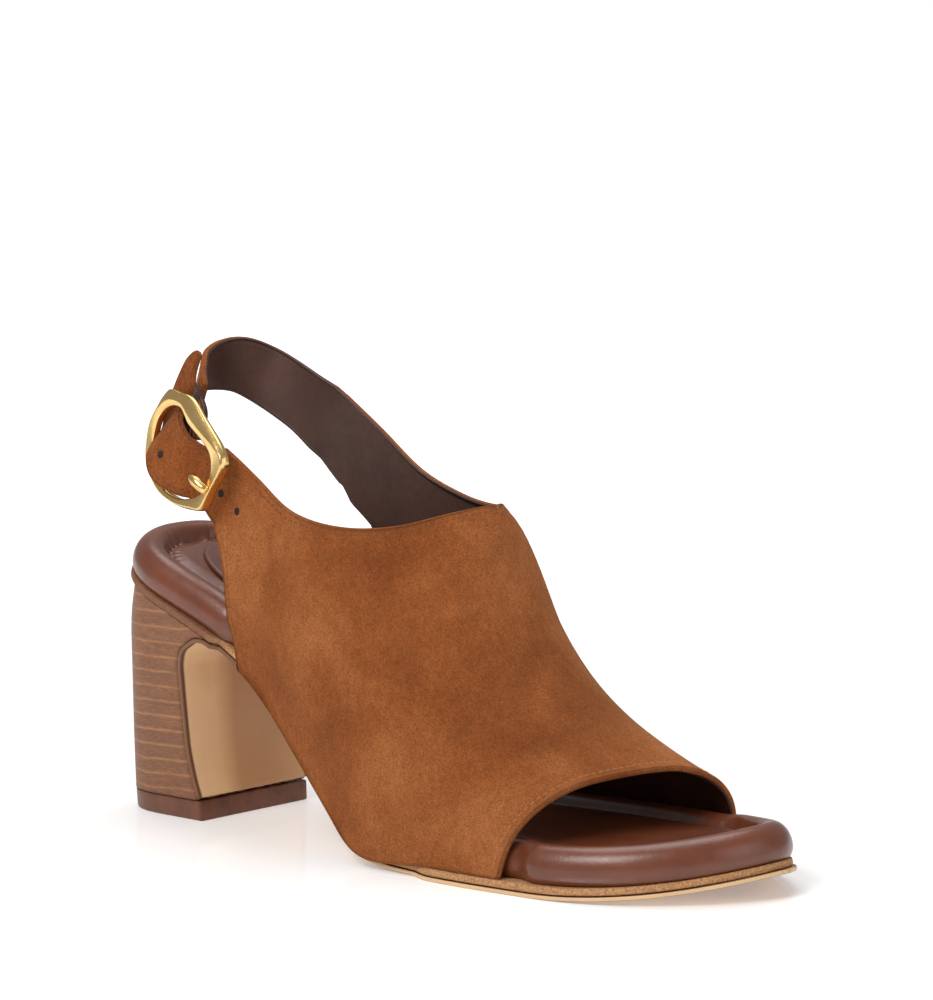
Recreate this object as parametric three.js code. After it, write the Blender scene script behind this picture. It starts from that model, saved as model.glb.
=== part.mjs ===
// Block heel slingback sandal, right foot, in millimetres.
// The shoe is worked out with x forward from the back of the heel seat, y to the inner (medial) side
// and z up from the floor. At the end the whole shoe is moved so that the origin is under its middle.
import * as THREE from 'three';
import { mergeVertices } from 'three/addons/utils/BufferGeometryUtils.js';

// Driving sizes of the last and the sole
const FOOTBED_ARC = 255;
const HEEL_RISE = 74;
const BALL_WIDTH = 84;
const THROAT_HEIGHT = 101;
const OUTSOLE = 1.2;
const WELT = 2.4;
const CLEAR = 0.3;
const HEEL_CAP_LENGTH = 29.5;
const HEEL_CAP_POWER = 2.25;
const TOE_TIP_SIDE = 8;
const TOE_CAP_LATERAL = 54;
const TOE_CAP_MEDIAL = 52;

// Heel block and its rubber tap
const TAP_HEIGHT = 6;
const TAP_WIDTH = 45.6;
const TAP_DEPTH = 38;
const TAP_FRONT = 38.2;
const TAP_FLARE = 0.6;
const TAP_RAKE = 0.8;
const TONGUE_END = 50;
const SEAT_INSET = 2.2;
const SEAT_INSET_END = 62;
const HEEL_TUCK = 1.4;

// Footbed and the oval pad on its heel
const RIM_HEIGHT = 10.8;
const RIM_INSET = 0.7;
const PAD_HEIGHT = 8.8;
const SOCK_THICKNESS = 1.2;
const SOCK_START = 19;
const SOCK_LENGTH = 62;
const SOCK_WIDTH = 31;
const SOCK_ROUND = 1;

// Upper and straps
const UPPER_WALL = 2;
const UPPER_LIFT = 0.6;
const ANKLE_HALF = 30;
const ELASTIC_THICKNESS = 1.2;

// Buckle: half sizes of the ring's outer corners, its band and its pin
const RING_HALF_SIZE = 17.3;
const RING_THICKNESS = 3;
const RING_CENTRE = { forward: 45.5, side: -36.5, height: 113.2 };
const RING_TURN = 8;
const RING_LEAN = 6;
const PRONG_HALF = 1.5;

// Slope of the footbed line in degrees, at shares of its arc. They are scaled to give HEEL_RISE.
const slopeRows = [
  { at: 0, slope: 16 },
  { at: 0.14, slope: 16 },
  { at: 0.27, slope: 26 },
  { at: 0.38, slope: 32.5 },
  { at: 0.48, slope: 32.5 },
  { at: 0.58, slope: 4.5 },
  { at: 0.66, slope: 0 },
  { at: 0.76, slope: 0 },
  { at: 0.86, slope: -4.5 },
  { at: 1, slope: -15.5 },
];

// Half widths of the sole in the flat, as shares of BALL_WIDTH, at shares of the arc
const outlineRows = [
  { at: 0, medial: 0.345, lateral: 0.365 },
  { at: 0.13, medial: 0.35, lateral: 0.365 },
  { at: 0.25, medial: 0.345, lateral: 0.355 },
  { at: 0.38, medial: 0.34, lateral: 0.4 },
  { at: 0.48, medial: 0.36, lateral: 0.44 },
  { at: 0.58, medial: 0.42, lateral: 0.485 },
  { at: 0.68, medial: 0.47, lateral: 0.485 },
  { at: 0.78, medial: 0.495, lateral: 0.465 },
  { at: 0.88, medial: 0.47, lateral: 0.44 },
  { at: 1, medial: 0.43, lateral: 0.405 },
];

// Crest of the last: its height as a share of THROAT_HEIGHT, its section's power and how far it lies
// to the medial side as a share of BALL_WIDTH, at shares of the plan length. Behind the throat it is
// the leg that the quarters would lie against.
const crestRows = [
  { at: 0.1, height: 2.45, power: 2.2, side: 0.04 },
  { at: 0.2, height: 2.3, power: 2.2, side: 0.04 },
  { at: 0.34, height: 1.95, power: 2.1, side: 0.04 },
  { at: 0.45, height: 1.48, power: 1.95, side: 0.04 },
  { at: 0.517, height: 1.15, power: 1.8, side: 0.04 },
  { at: 0.55, height: 1.035, power: 1.75, side: 0.045 },
  { at: 0.569, height: 0.985, power: 1.75, side: 0.05 },
  { at: 0.608, height: 0.78, power: 1.8, side: 0.055 },
  { at: 0.66, height: 0.578, power: 1.9, side: 0.08 },
  { at: 0.716, height: 0.435, power: 2, side: 0.11 },
  { at: 0.754, height: 0.373, power: 2.05, side: 0.13 },
  { at: 0.795, height: 0.32, power: 2.15, side: 0.15 },
  { at: 0.828, height: 0.286, power: 2.25, side: 0.17 },
  { at: 0.9, height: 0.256, power: 2.25, side: 0.17 },
];

// Front edge of the vamp, around the toe opening: share of the plan length by section angle,
// from the lateral sole edge (0) over the crest (0.5) to the medial sole edge (1)
const openingRows = [
  { turn: 0, at: 0.727 },
  { turn: 0.1, at: 0.739 },
  { turn: 0.2, at: 0.757 },
  { turn: 0.3, at: 0.777 },
  { turn: 0.4, at: 0.797 },
  { turn: 0.5, at: 0.81 },
  { turn: 0.6, at: 0.821 },
  { turn: 0.7, at: 0.828 },
  { turn: 0.8, at: 0.83 },
  { turn: 0.9, at: 0.827 },
  { turn: 1, at: 0.82 },
];

// Back edge of the upper, as lengths along the plan and heights over the floor, as shares of the plan
// length and of THROAT_HEIGHT. Each run ends at a corner; rows is how many steps the run is cut into.
const backRuns = [
  {
    name: 'lateral back edge',
    rows: 6,
    side: 'lateral',
    points: [
      { at: 0.257, height: 0.53 }, { at: 0.248, height: 0.64 }, { at: 0.25, height: 0.8 },
      { at: 0.236, height: 0.92 },
    ],
  },
  {
    name: 'root of the tab',
    rows: 4,
    side: 'lateral',
    points: [{ at: 0.236, height: 0.92 }, { at: 0.25, height: 1.13 }],
  },
  {
    name: 'lateral collar',
    rows: 11,
    side: 'lateral',
    points: [
      { at: 0.25, height: 1.13 }, { at: 0.3, height: 1.055 }, { at: 0.36, height: 0.972 },
      { at: 0.43, height: 0.938 }, { at: 0.5, height: 0.945 }, { at: 0.55, height: 0.985 },
      { at: 0.569, height: 1 },
    ],
  },
  {
    name: 'medial top edge',
    rows: 9,
    side: 'medial',
    points: [
      { at: 0.569, height: 1 }, { at: 0.55, height: 0.99 }, { at: 0.46, height: 1 },
      { at: 0.355, height: 1.06 }, { at: 0.22, height: 1.24 },
    ],
  },
  {
    name: 'root of the sling',
    rows: 4,
    side: 'medial',
    points: [{ at: 0.22, height: 1.24 }, { at: 0.178, height: 1.08 }],
  },
  {
    name: 'medial back edge',
    rows: 6,
    side: 'medial',
    points: [
      { at: 0.178, height: 1.08 }, { at: 0.2, height: 0.985 }, { at: 0.232, height: 0.9 },
      { at: 0.254, height: 0.8 }, { at: 0.262, height: 0.66 }, { at: 0.266, height: 0.53 },
    ],
  },
];

// Centre line of the sling behind the medial quarter: forward, side and width as shares of ANKLE_HALF,
// height as a share of THROAT_HEIGHT
const slingRows = [
  { forward: 1.03, side: 0.95, height: 1.226, width: 0.53 },
  { forward: 0.65, side: 0.87, height: 1.284, width: 0.51 },
  { forward: 0.45, side: 0.66, height: 1.319, width: 0.48 },
  { forward: 0.46, side: 0.36, height: 1.329, width: 0.45 },
  { forward: 0.6, side: 0.05, height: 1.327, width: 0.44 },
  { forward: 0.77, side: -0.2, height: 1.318, width: 0.43 },
  { forward: 0.92, side: -0.4, height: 1.302, width: 0.41 },
  { forward: 1.01, side: -0.53, height: 1.283, width: 0.39 },
  { forward: 1.05, side: -0.6, height: 1.268, width: 0.37 },
];

// Centre line of the tab: under the front of the ring, out through it, back behind its top and up
const tabRows = [
  { forward: 1.66, side: -1.19, height: 1.064, width: 0.56 },
  { forward: 1.53, side: -1.34, height: 1.088, width: 0.54 },
  { forward: 1.4, side: -1.43, height: 1.108, width: 0.53 },
  { forward: 1.31, side: -1.38, height: 1.142, width: 0.47 },
  { forward: 1.28, side: -1.22, height: 1.182, width: 0.39 },
  { forward: 1.25, side: -1.03, height: 1.226, width: 0.38 },
  { forward: 1.21, side: -0.96, height: 1.27, width: 0.41 },
  { forward: 1.21, side: -0.9, height: 1.32, width: 0.4 },
  { forward: 1.27, side: -0.87, height: 1.357, width: 0.33 },
  { forward: 1.3, side: -0.86, height: 1.377, width: 0.2 },
];

// Centre line of the elastic: from inside the sling's end down to the back of the ring
const elasticRows = [
  { forward: 1.07, side: -0.47, height: 1.285, width: 0.3 },
  { forward: 1.17, side: -0.62, height: 1.252, width: 0.32 },
  { forward: 1.24, side: -0.76, height: 1.215, width: 0.32 },
  { forward: 1.3, side: -0.92, height: 1.175, width: 0.32 },
];

// Outer corners of the buckle ring, as shares of its half size, and the width of its band there
const ringRows = [
  { right: -0.4, up: 0.99, band: 3.4 },
  { right: 0.12, up: 0.82, band: 3.6 },
  { right: 0.56, up: 0.48, band: 4.8 },
  { right: 0.92, up: 0.1, band: 6 },
  { right: 1.08, up: -0.22, band: 6.6 },
  { right: 0.88, up: -0.62, band: 6 },
  { right: 0.58, up: -0.99, band: 4.8 },
  { right: -0.1, up: -0.97, band: 3.6 },
  { right: -0.68, up: -0.68, band: 3.2 },
  { right: -0.97, up: -0.15, band: 3.1 },
  { right: -0.92, up: 0.3, band: 3.1 },
  { right: -0.68, up: 0.74, band: 3.3 },
];

// Section of the ring: across from its outer edge as a share of the band, and out as a share of half
// its thickness
const ringSection = [
  { across: 0.02, out: -0.7 },
  { across: 0, out: 0.25 },
  { across: 0.3, out: 1 },
  { across: 0.84, out: 0.9 },
  { across: 1, out: 0.3 },
  { across: 0.98, out: -0.6 },
  { across: 0.8, out: -1 },
  { across: 0.2, out: -1 },
];

// Pin of the buckle, from the ring's inner edge to its rounded end, with its half width as a share
const prongRows = [
  { forward: 54.1, side: -40.4, height: 102.9, half: 0.5 },
  { forward: 53.9, side: -40.5, height: 103.1, half: 0.9 },
  { forward: 52.9, side: -41.4, height: 104, half: 1 },
  { forward: 51.5, side: -42.5, height: 105.3, half: 0.95 },
  { forward: 50.6, side: -43, height: 106.1, half: 0.75 },
  { forward: 50.2, side: -43.2, height: 106.4, half: 0.4 },
];

const radians = Math.PI / 180;

// Monotone cubic value of one column of a table
function column(rows, key, name, at) {
  const xs = rows.map((row) => row[key]);
  const ys = rows.map((row) => row[name]);
  const last = xs.length - 1;
  const x = Math.min(Math.max(at, xs[0]), xs[last]);
  const steps = xs.slice(1).map((value, i) => value - xs[i]);
  const slopes = steps.map((step, i) => (ys[i + 1] - ys[i]) / step);
  const tangents = ys.map((value, i) => {
    if (i === 0) return slopes[0];
    if (i === last) return slopes[last - 1];
    if (slopes[i - 1] * slopes[i] <= 0) return 0;
    const left = 2 * steps[i] + steps[i - 1];
    const right = steps[i] + 2 * steps[i - 1];
    return (left + right) / (left / slopes[i - 1] + right / slopes[i]);
  });
  let i = 0;
  while (i < last - 1 && x > xs[i + 1]) i += 1;
  const t = (x - xs[i]) / steps[i];
  const t2 = t * t;
  const t3 = t2 * t;
  return (2 * t3 - 3 * t2 + 1) * ys[i] + (t3 - 2 * t2 + t) * steps[i] * tangents[i]
    + (3 * t2 - 2 * t3) * ys[i + 1] + (t3 - t2) * steps[i] * tangents[i + 1];
}

const mix = (a, b, t) => a + (b - a) * t;
const ease = (t) => {
  const c = Math.min(Math.max(t, 0), 1);
  return c * c * (3 - 2 * c);
};

// The footbed line: place and slope along the arc, scaled so that it falls by HEEL_RISE
const RISE_PASSES = 12;
function footbedLine(steps) {
  const angles = [];
  for (let i = 0; i <= steps; i += 1) angles.push(column(slopeRows, 'at', 'slope', i / steps) * radians);
  let scale = 1;
  let line = [];
  for (let pass = 0; pass < RISE_PASSES; pass += 1) {
    const scaled = angles.map((angle) => (angle > 0 ? angle * scale : angle));
    let x = 0;
    let z = 0;
    line = [{ x, z, angle: scaled[0] }];
    for (let i = 1; i <= steps; i += 1) {
      const step = FOOTBED_ARC / steps / 2;
      x += (Math.cos(scaled[i - 1]) + Math.cos(scaled[i])) * step;
      z -= (Math.sin(scaled[i - 1]) + Math.sin(scaled[i])) * step;
      line.push({ x, z, angle: scaled[i] });
    }
    scale *= HEEL_RISE / -Math.min(...line.map((point) => point.z));
  }
  const floor = Math.min(...line.map((point) => point.z));
  return line.map((point) => ({ ...point, z: point.z - floor }));
}

const LINE_STEPS = 240;
const line = footbedLine(LINE_STEPS);
const PLAN_LENGTH = line[LINE_STEPS].x;

function lineAt(s) {
  const place = Math.min(Math.max(s / FOOTBED_ARC, 0), 1) * LINE_STEPS;
  const i = Math.min(Math.floor(place), LINE_STEPS - 1);
  const t = place - i;
  const over = s - Math.min(Math.max(s, 0), FOOTBED_ARC);
  const angle = mix(line[i].angle, line[i + 1].angle, t);
  return {
    x: mix(line[i].x, line[i + 1].x, t) + over * Math.cos(angle),
    z: mix(line[i].z, line[i + 1].z, t) - over * Math.sin(angle),
    angle,
  };
}

// Arc length under a plan place
function arcAt(x) {
  let i = 0;
  while (i < LINE_STEPS - 1 && line[i + 1].x < x) i += 1;
  return (i + (x - line[i].x) / (line[i + 1].x - line[i].x)) / LINE_STEPS * FOOTBED_ARC;
}

// A flat pattern place (s along, y across, h over the welt's top) bent into the shoe
function bend(s, y, h) {
  const at = lineAt(s);
  return new THREE.Vector3(
    at.x + h * Math.sin(at.angle),
    y,
    at.z + OUTSOLE + WELT + h * Math.cos(at.angle),
  );
}

// Half widths of the sole's flat pattern, rounded at heel and toe
function soleSides(s) {
  const share = s / FOOTBED_ARC;
  const heel = Math.min(Math.max(1 - s / HEEL_CAP_LENGTH, 0), 1);
  const heelRound = (1 - heel ** HEEL_CAP_POWER) ** (1 / HEEL_CAP_POWER);
  const toeRound = (length) => Math.sqrt(1 - Math.min(Math.max(1 - (FOOTBED_ARC - s) / length, 0), 1) ** 2);
  const lateralRound = toeRound(TOE_CAP_LATERAL);
  const medialRound = toeRound(TOE_CAP_MEDIAL);
  const lateral = column(outlineRows, 'at', 'lateral', share) * BALL_WIDTH * heelRound;
  const medial = column(outlineRows, 'at', 'medial', share) * BALL_WIDTH * heelRound;
  return {
    lateral: TOE_TIP_SIDE * (1 - lateralRound) - lateral * lateralRound,
    medial: TOE_TIP_SIDE * (1 - medialRound) + medial * medialRound,
  };
}

// Stations along the arc, closer together at both ends
const STATION_COUNT = 46;
const END_CROWDING = 0.6;
const stations = Array.from({ length: STATION_COUNT + 1 }, (unused, i) => {
  const even = i / STATION_COUNT;
  return FOOTBED_ARC * mix(even, (1 - Math.cos(Math.PI * even)) / 2, END_CROWDING);
});

const MERGE_STEP = 1e-3;

// Mesh helpers: points are Vector3, faces are lists of point numbers
function geometryOf(points, faces) {
  const places = [];
  faces.forEach((face) => {
    for (let i = 1; i < face.length - 1; i += 1) {
      [face[0], face[i], face[i + 1]].forEach((n) => places.push(points[n].x, points[n].y, points[n].z));
    }
  });
  const loose = new THREE.BufferGeometry();
  loose.setAttribute('position', new THREE.Float32BufferAttribute(places, 3));
  const joined = mergeVertices(loose, MERGE_STEP);
  return withoutSlivers(joined);
}

// Drops triangles that merging has made empty
function withoutSlivers(geometry) {
  const kept = [];
  const index = geometry.index.array;
  for (let i = 0; i < index.length; i += 3) {
    const [a, b, c] = [index[i], index[i + 1], index[i + 2]];
    if (a !== b && b !== c && c !== a) kept.push(a, b, c);
  }
  geometry.setIndex(kept);
  return geometry;
}

function gridFaces(rows, columns, start = 0, closed = false) {
  const faces = [];
  const across = closed ? columns : columns - 1;
  for (let i = 0; i < rows - 1; i += 1) {
    for (let j = 0; j < across; j += 1) {
      const a = start + i * columns + j;
      const b = start + i * columns + (j + 1) % columns;
      faces.push([a, b, b + columns, a + columns]);
    }
  }
  return faces;
}

const JOIN_STEP = 0.005;

// A sheet of grids, joined where their points meet, given a wall on its inner side
function thicken(grids, wall) {
  const points = [];
  const seen = new Map();
  const triangles = [];
  const numberOf = (point) => {
    const key = [point.x, point.y, point.z].map((value) => Math.round(value / JOIN_STEP)).join(' ');
    if (!seen.has(key)) {
      seen.set(key, points.length);
      points.push(point);
    }
    return seen.get(key);
  };
  grids.forEach((grid) => {
    const numbers = grid.map((row) => row.map(numberOf));
    for (let i = 0; i < numbers.length - 1; i += 1) {
      for (let j = 0; j < numbers[i].length - 1; j += 1) {
        const [a, b, c, d] = [numbers[i][j], numbers[i][j + 1], numbers[i + 1][j + 1], numbers[i + 1][j]];
        [[a, b, c], [a, c, d]].forEach((face) => {
          if (face[0] !== face[1] && face[1] !== face[2] && face[2] !== face[0]) triangles.push(face);
        });
      }
    }
  });
  const normals = points.map(() => new THREE.Vector3());
  triangles.forEach(([a, b, c]) => {
    const ab = points[b].clone().sub(points[a]);
    const normal = ab.cross(points[c].clone().sub(points[a]));
    [a, b, c].forEach((n) => normals[n].add(normal));
  });
  const inner = points.map((point, i) => point.clone().addScaledVector(normals[i].normalize(), -wall));
  const count = points.length;
  const faces = [];
  const edges = new Map();
  triangles.forEach(([a, b, c]) => {
    faces.push([a, b, c], [c + count, b + count, a + count]);
    [[a, b], [b, c], [c, a]].forEach(([p, q]) => edges.set(`${p} ${q}`, [p, q]));
  });
  edges.forEach(([p, q]) => {
    if (!edges.has(`${q} ${p}`)) faces.push([q, p, p + count, q + count]);
  });
  return geometryOf([...points, ...inner], faces);
}

// Rings of equal length joined in turn, each end closed by a ladder of steps across the ring
function ringLoft(rings) {
  const size = rings[0].length;
  const faces = gridFaces(rings.length, size, 0, true);
  const ladder = (start, up) => {
    for (let i = 0; i < size / 2; i += 1) {
      const far = (size - i) % size;
      const quad = [start + i, start + i + 1, start + (far - 1 + size) % size, start + far];
      const clean = quad.filter((n, k) => quad.indexOf(n) === k);
      if (clean.length > 2) faces.push(up ? clean : clean.reverse());
    }
  };
  ladder(0, false);
  ladder((rings.length - 1) * size, true);
  return geometryOf(rings.flat(), faces);
}

// Flat outline of the sole as a ring: from the back of the heel along the lateral side to the toe
// and back along the medial side, moved inward by inset(s, side)
function outlineRing(inset) {
  const ring = stations.map((s) => ({ s, y: soleSides(s).lateral, side: 'lateral' }));
  stations.slice(1, -1).reverse().forEach((s) => ring.push({ s, y: soleSides(s).medial, side: 'medial' }));
  return ring.map((point, i) => {
    const before = ring[(i + ring.length - 1) % ring.length];
    const after = ring[(i + 1) % ring.length];
    const length = Math.hypot(after.s - before.s, after.y - before.y);
    const amount = inset(point.s, point.side);
    return {
      s: point.s - (after.y - before.y) / length * amount,
      y: point.y + (after.s - before.s) / length * amount,
    };
  });
}

// How far the welt and the heel's top draw in under the footbed round the heel
const seatInset = (s) => SEAT_INSET * (1 - ease(s / SEAT_INSET_END));

// Welt: a flat strip sole between the footbed and the outsole
function weltGeometry() {
  const ring = outlineRing(seatInset);
  return ringLoft([
    ring.map((point) => bend(point.s, point.y, -WELT + CLEAR)),
    ring.map((point) => bend(point.s, point.y, 0)),
  ]);
}

// Front of the heel over its height, as shares of the length of the tongue in front of the tap
const breastRows = [
  { up: 0, forward: -0.2 },
  { up: 0.13, forward: -0.425 },
  { up: 0.32, forward: -0.59 },
  { up: 0.53, forward: -0.6 },
  { up: 0.72, forward: -0.59 },
  { up: 0.8, forward: -0.475 },
  { up: 0.86, forward: -0.25 },
  { up: 0.9, forward: 0.02 },
  { up: 0.94, forward: 0.3 },
  { up: 0.97, forward: 0.55 },
  { up: 0.985, forward: 0.75 },
  { up: 1, forward: 1 },
];
const BREAST_SPAN = 8;
const HEEL_BACK = TAP_FRONT - TAP_DEPTH;
const HEEL_BACK_SHARE = 0.58;
const HEEL_BACK_POWER = 2.6;
const HEEL_SIDE_SHARE = 0.8;
const HEEL_ROUND_STEPS = 12;
const HEEL_FRONT_STEPS = 10;

// One ring of the heel by share: depth 0 at the back to 1 at the front, side -1 to 1
function heelRingShares() {
  const shares = [];
  for (let i = 0; i <= HEEL_ROUND_STEPS; i += 1) {
    const angle = (i / HEEL_ROUND_STEPS) * Math.PI / 2;
    shares.push({
      depth: (1 - Math.cos(angle) ** (2 / HEEL_BACK_POWER)) * HEEL_BACK_SHARE,
      side: -(Math.sin(angle) ** (2 / HEEL_BACK_POWER)),
    });
  }
  shares.push({ depth: HEEL_SIDE_SHARE, side: -1 });
  for (let i = 0; i <= HEEL_FRONT_STEPS; i += 1) {
    shares.push({ depth: 1, side: mix(-1, 1, i / HEEL_FRONT_STEPS) });
  }
  shares.push({ depth: HEEL_SIDE_SHARE, side: 1 });
  for (let i = HEEL_ROUND_STEPS; i > 0; i -= 1) {
    shares.push({ depth: shares[i].depth, side: -shares[i].side });
  }
  return shares;
}
const heelShares = heelRingShares();

// Place on the heel's surface for a ring share and a share of the height
function heelPoint(share, up) {
  const front = TAP_FRONT + BREAST_SPAN * column(breastRows, 'up', 'forward', up);
  const x = mix(mix(HEEL_BACK, SEAT_INSET + HEEL_TUCK, up), front, share.depth);
  const topS = share.depth * TONGUE_END;
  const sides = soleSides(topS);
  const tuck = seatInset(topS) + HEEL_TUCK * (1 - share.depth);
  const outline = Math.max(Math.abs(share.side < 0 ? sides.lateral : sides.medial) - tuck, 0);
  const spread = share.depth < 1 ? Math.sign(share.side) : share.side;
  const foot = share.side * (TAP_WIDTH / 2 + TAP_FLARE);
  const s = arcAt(Math.max(x, 0));
  const seat = bend(s + WELT * Math.sin(lineAt(s).angle), 0, -WELT).z;
  return new THREE.Vector3(x, mix(foot, spread * outline, up), mix(TAP_HEIGHT + CLEAR, seat, up));
}

function heelGeometry() {
  const ups = [0, 0.12, 0.25, 0.4, 0.55, 0.68, 0.75, 0.8, 0.85, 0.9, 0.94, 0.97, 0.985, 1];
  return ringLoft(ups.map((up) => heelShares.map((share) => heelPoint(share, up))));
}

function tapGeometry() {
  const ring = (up) => heelShares.map((share) => new THREE.Vector3(
    mix(HEEL_BACK, TAP_FRONT - TAP_RAKE * up, share.depth),
    share.side * (TAP_WIDTH / 2 + TAP_FLARE * up),
    TAP_HEIGHT * up,
  ));
  return ringLoft([ring(0), ring(1)]);
}

// Outsole: thin leather under the forefoot and shank that runs on down the breast of the heel
const OUTSOLE_ACROSS = 8;
const TONGUE_BLEND = 4;
function outsoleGeometry() {
  const shares = Array.from({ length: OUTSOLE_ACROSS + 1 }, (unused, j) => j / OUTSOLE_ACROSS);
  const rows = stations.filter((s) => s > TONGUE_END + TONGUE_BLEND).reverse().map((s) => {
    const sides = soleSides(s);
    const inset = seatInset(s);
    return shares.map((share) => bend(s, mix(sides.lateral + inset, sides.medial - inset, share), -WELT));
  });
  const ups = [1, 0.985, 0.97, 0.94, 0.9, 0.85, 0.8, 0.75, 0.68, 0.55, 0.4, 0.25, 0.12, 0.01];
  const nudge = 0.004;
  ups.forEach((up) => {
    rows.push(shares.map((share) => {
      const place = { depth: 1, side: mix(-1, 1, share) };
      const higher = heelPoint(place, Math.min(up + nudge, 1));
      const lower = heelPoint(place, up - nudge);
      const along = higher.sub(lower).normalize();
      return heelPoint(place, up).add(new THREE.Vector3(along.z, 0, -along.x).multiplyScalar(CLEAR));
    }));
  });
  return thicken([rows], OUTSOLE);
}

// Footbed: a rolled rim, a stitched groove inside it and a padded middle
const footbedRings = [
  { inset: 1.2, height: 0.3 },
  { inset: 0.2, height: 2.2 },
  { inset: 0, height: 5 },
  { inset: 0.9, height: 7.9 },
  { inset: 2.8, height: 10 },
  { inset: 5.2, height: RIM_HEIGHT },
  { inset: 7.8, height: 10 },
  { inset: 9.6, height: 8 },
  { inset: 10.6, height: 7.2 },
  { inset: 12.2, height: 8 },
  { inset: 15, height: PAD_HEIGHT },
];

// The footbed draws in under the upper's wall between the back edge and the toe opening
const UNDER_UPPER = UPPER_WALL + 1.5;
const UNDER_FROM = 0.243;
const UNDER_TO = { lateral: 0.745, medial: 0.845 };
const UNDER_BLEND = 8;
function footbedInset(s, side) {
  const from = arcAt(UNDER_FROM * PLAN_LENGTH) - UNDER_BLEND;
  const to = arcAt(UNDER_TO[side] * PLAN_LENGTH);
  const draw = ease((s - from) / UNDER_BLEND) * (1 - ease((s - to) / UNDER_BLEND));
  return mix(RIM_INSET, UNDER_UPPER, draw);
}

function footbedGeometry() {
  const rings = footbedRings.map((row) => outlineRing((s, side) => footbedInset(s, side) + row.inset)
    .map((point) => bend(point.s, point.y, row.height)));
  return ringLoft(rings);
}

// Oval pad on the heel of the footbed, its top edge rounded over
const SOCK_STEPS = 14;
function sockGeometry() {
  const oval = (inset, height) => {
    const ring = [];
    for (let i = 0; i < SOCK_STEPS * 2; i += 1) {
      const angle = Math.PI * i / SOCK_STEPS;
      const s = SOCK_START + SOCK_LENGTH / 2 - (SOCK_LENGTH / 2 - inset) * Math.cos(angle);
      ring.push(bend(s, -(SOCK_WIDTH / 2 - inset) * Math.sin(angle), height));
    }
    return ring;
  };
  const foot = PAD_HEIGHT + CLEAR;
  return ringLoft([oval(0, foot), oval(0, foot + SOCK_THICKNESS / 2), oval(SOCK_ROUND, foot + SOCK_THICKNESS)]);
}

// The upper's outer face: sections across the last at a plan place x, turned by 0 to 1 from the
// lateral sole edge over the crest to the medial sole edge
function lastSection(x) {
  const s = arcAt(x);
  const sides = soleSides(s);
  const share = x / PLAN_LENGTH;
  return {
    lateral: sides.lateral + CLEAR,
    medial: sides.medial - CLEAR,
    foot: bend(s, 0, UPPER_LIFT).z,
    crest: column(crestRows, 'at', 'height', share) * THROAT_HEIGHT,
    power: column(crestRows, 'at', 'power', share),
    side: column(crestRows, 'at', 'side', share) * BALL_WIDTH,
  };
}

// The lateral quarter stands out towards the back, where the tab pulls on it
const QUARTER_FLARE = 9.5;
const QUARTER_FLARE_END = 0.5;
const QUARTER_FLARE_RISE = 35;
function lastPoint(x, turn) {
  const section = lastSection(x);
  const angle = Math.PI * turn;
  const out = Math.abs(Math.cos(angle)) ** (2 / section.power);
  const up = Math.abs(Math.sin(angle)) ** (2 / section.power);
  const edge = turn < 0.5 ? section.lateral : section.medial;
  const z = mix(section.foot, section.crest, up);
  const back = Math.max(1 - x / PLAN_LENGTH / QUARTER_FLARE_END, 0);
  const flare = turn < 0.5 ? QUARTER_FLARE * back * ease((z - section.foot) / QUARTER_FLARE_RISE) : 0;
  return new THREE.Vector3(x, mix(section.side, edge, out) - flare, z);
}

function turnAt(x, z, side) {
  const section = lastSection(x);
  const share = Math.min(Math.max((z - section.foot) / (section.crest - section.foot), 0), 1);
  const turn = Math.asin(share ** (section.power / 2)) / Math.PI;
  return side === 'lateral' ? turn : 1 - turn;
}

// Back edge places, as plan place and turn, run by run
function backPlaces() {
  const places = [];
  const marks = {};
  backRuns.forEach((run, number) => {
    const curve = new THREE.CatmullRomCurve3(
      run.points.map((point) => new THREE.Vector3(point.at * PLAN_LENGTH, 0, point.height * THROAT_HEIGHT)),
      false, 'centripetal',
    );
    if (number > 0) places.pop();
    marks[run.name] = [places.length, places.length + run.rows];
    curve.getSpacedPoints(run.rows).forEach((point, i) => {
      let turn = turnAt(point.x, point.z, run.side);
      if (number === 0 && i === 0) turn = 0;
      if (number === backRuns.length - 1 && i === run.rows) turn = 1;
      places.push({ x: point.x, turn });
    });
  });
  return { places, marks };
}

const UPPER_COLUMNS = 20;
const FRONT_EVEN = 0.5;
function upperGrids() {
  const { places, marks } = backPlaces();
  const throat = marks['lateral collar'][1];
  const last = places.length - 1;
  const grid = places.map((place, j) => {
    const even = j <= throat ? 0.5 * j / throat : 0.5 + 0.5 * (j - throat) / (last - throat);
    const frontTurn = mix(place.turn, even, FRONT_EVEN);
    const frontX = column(openingRows, 'turn', 'at', frontTurn) * PLAN_LENGTH;
    const row = [];
    for (let i = 0; i <= UPPER_COLUMNS; i += 1) {
      const t = i / UPPER_COLUMNS;
      row.push(lastPoint(mix(place.x, frontX, t), mix(place.turn, frontTurn, ease(t))));
    }
    return row;
  });
  const edge = (name) => grid.slice(marks[name][0], marks[name][1] + 1).map((row) => row[0]);
  return { grid, tabRoot: edge('root of the tab'), slingRoot: edge('root of the sling') };
}

const placeOf = (row) => new THREE.Vector3(
  row.forward * ANKLE_HALF, row.side * ANKLE_HALF, row.height * THROAT_HEIGHT,
);

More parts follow.
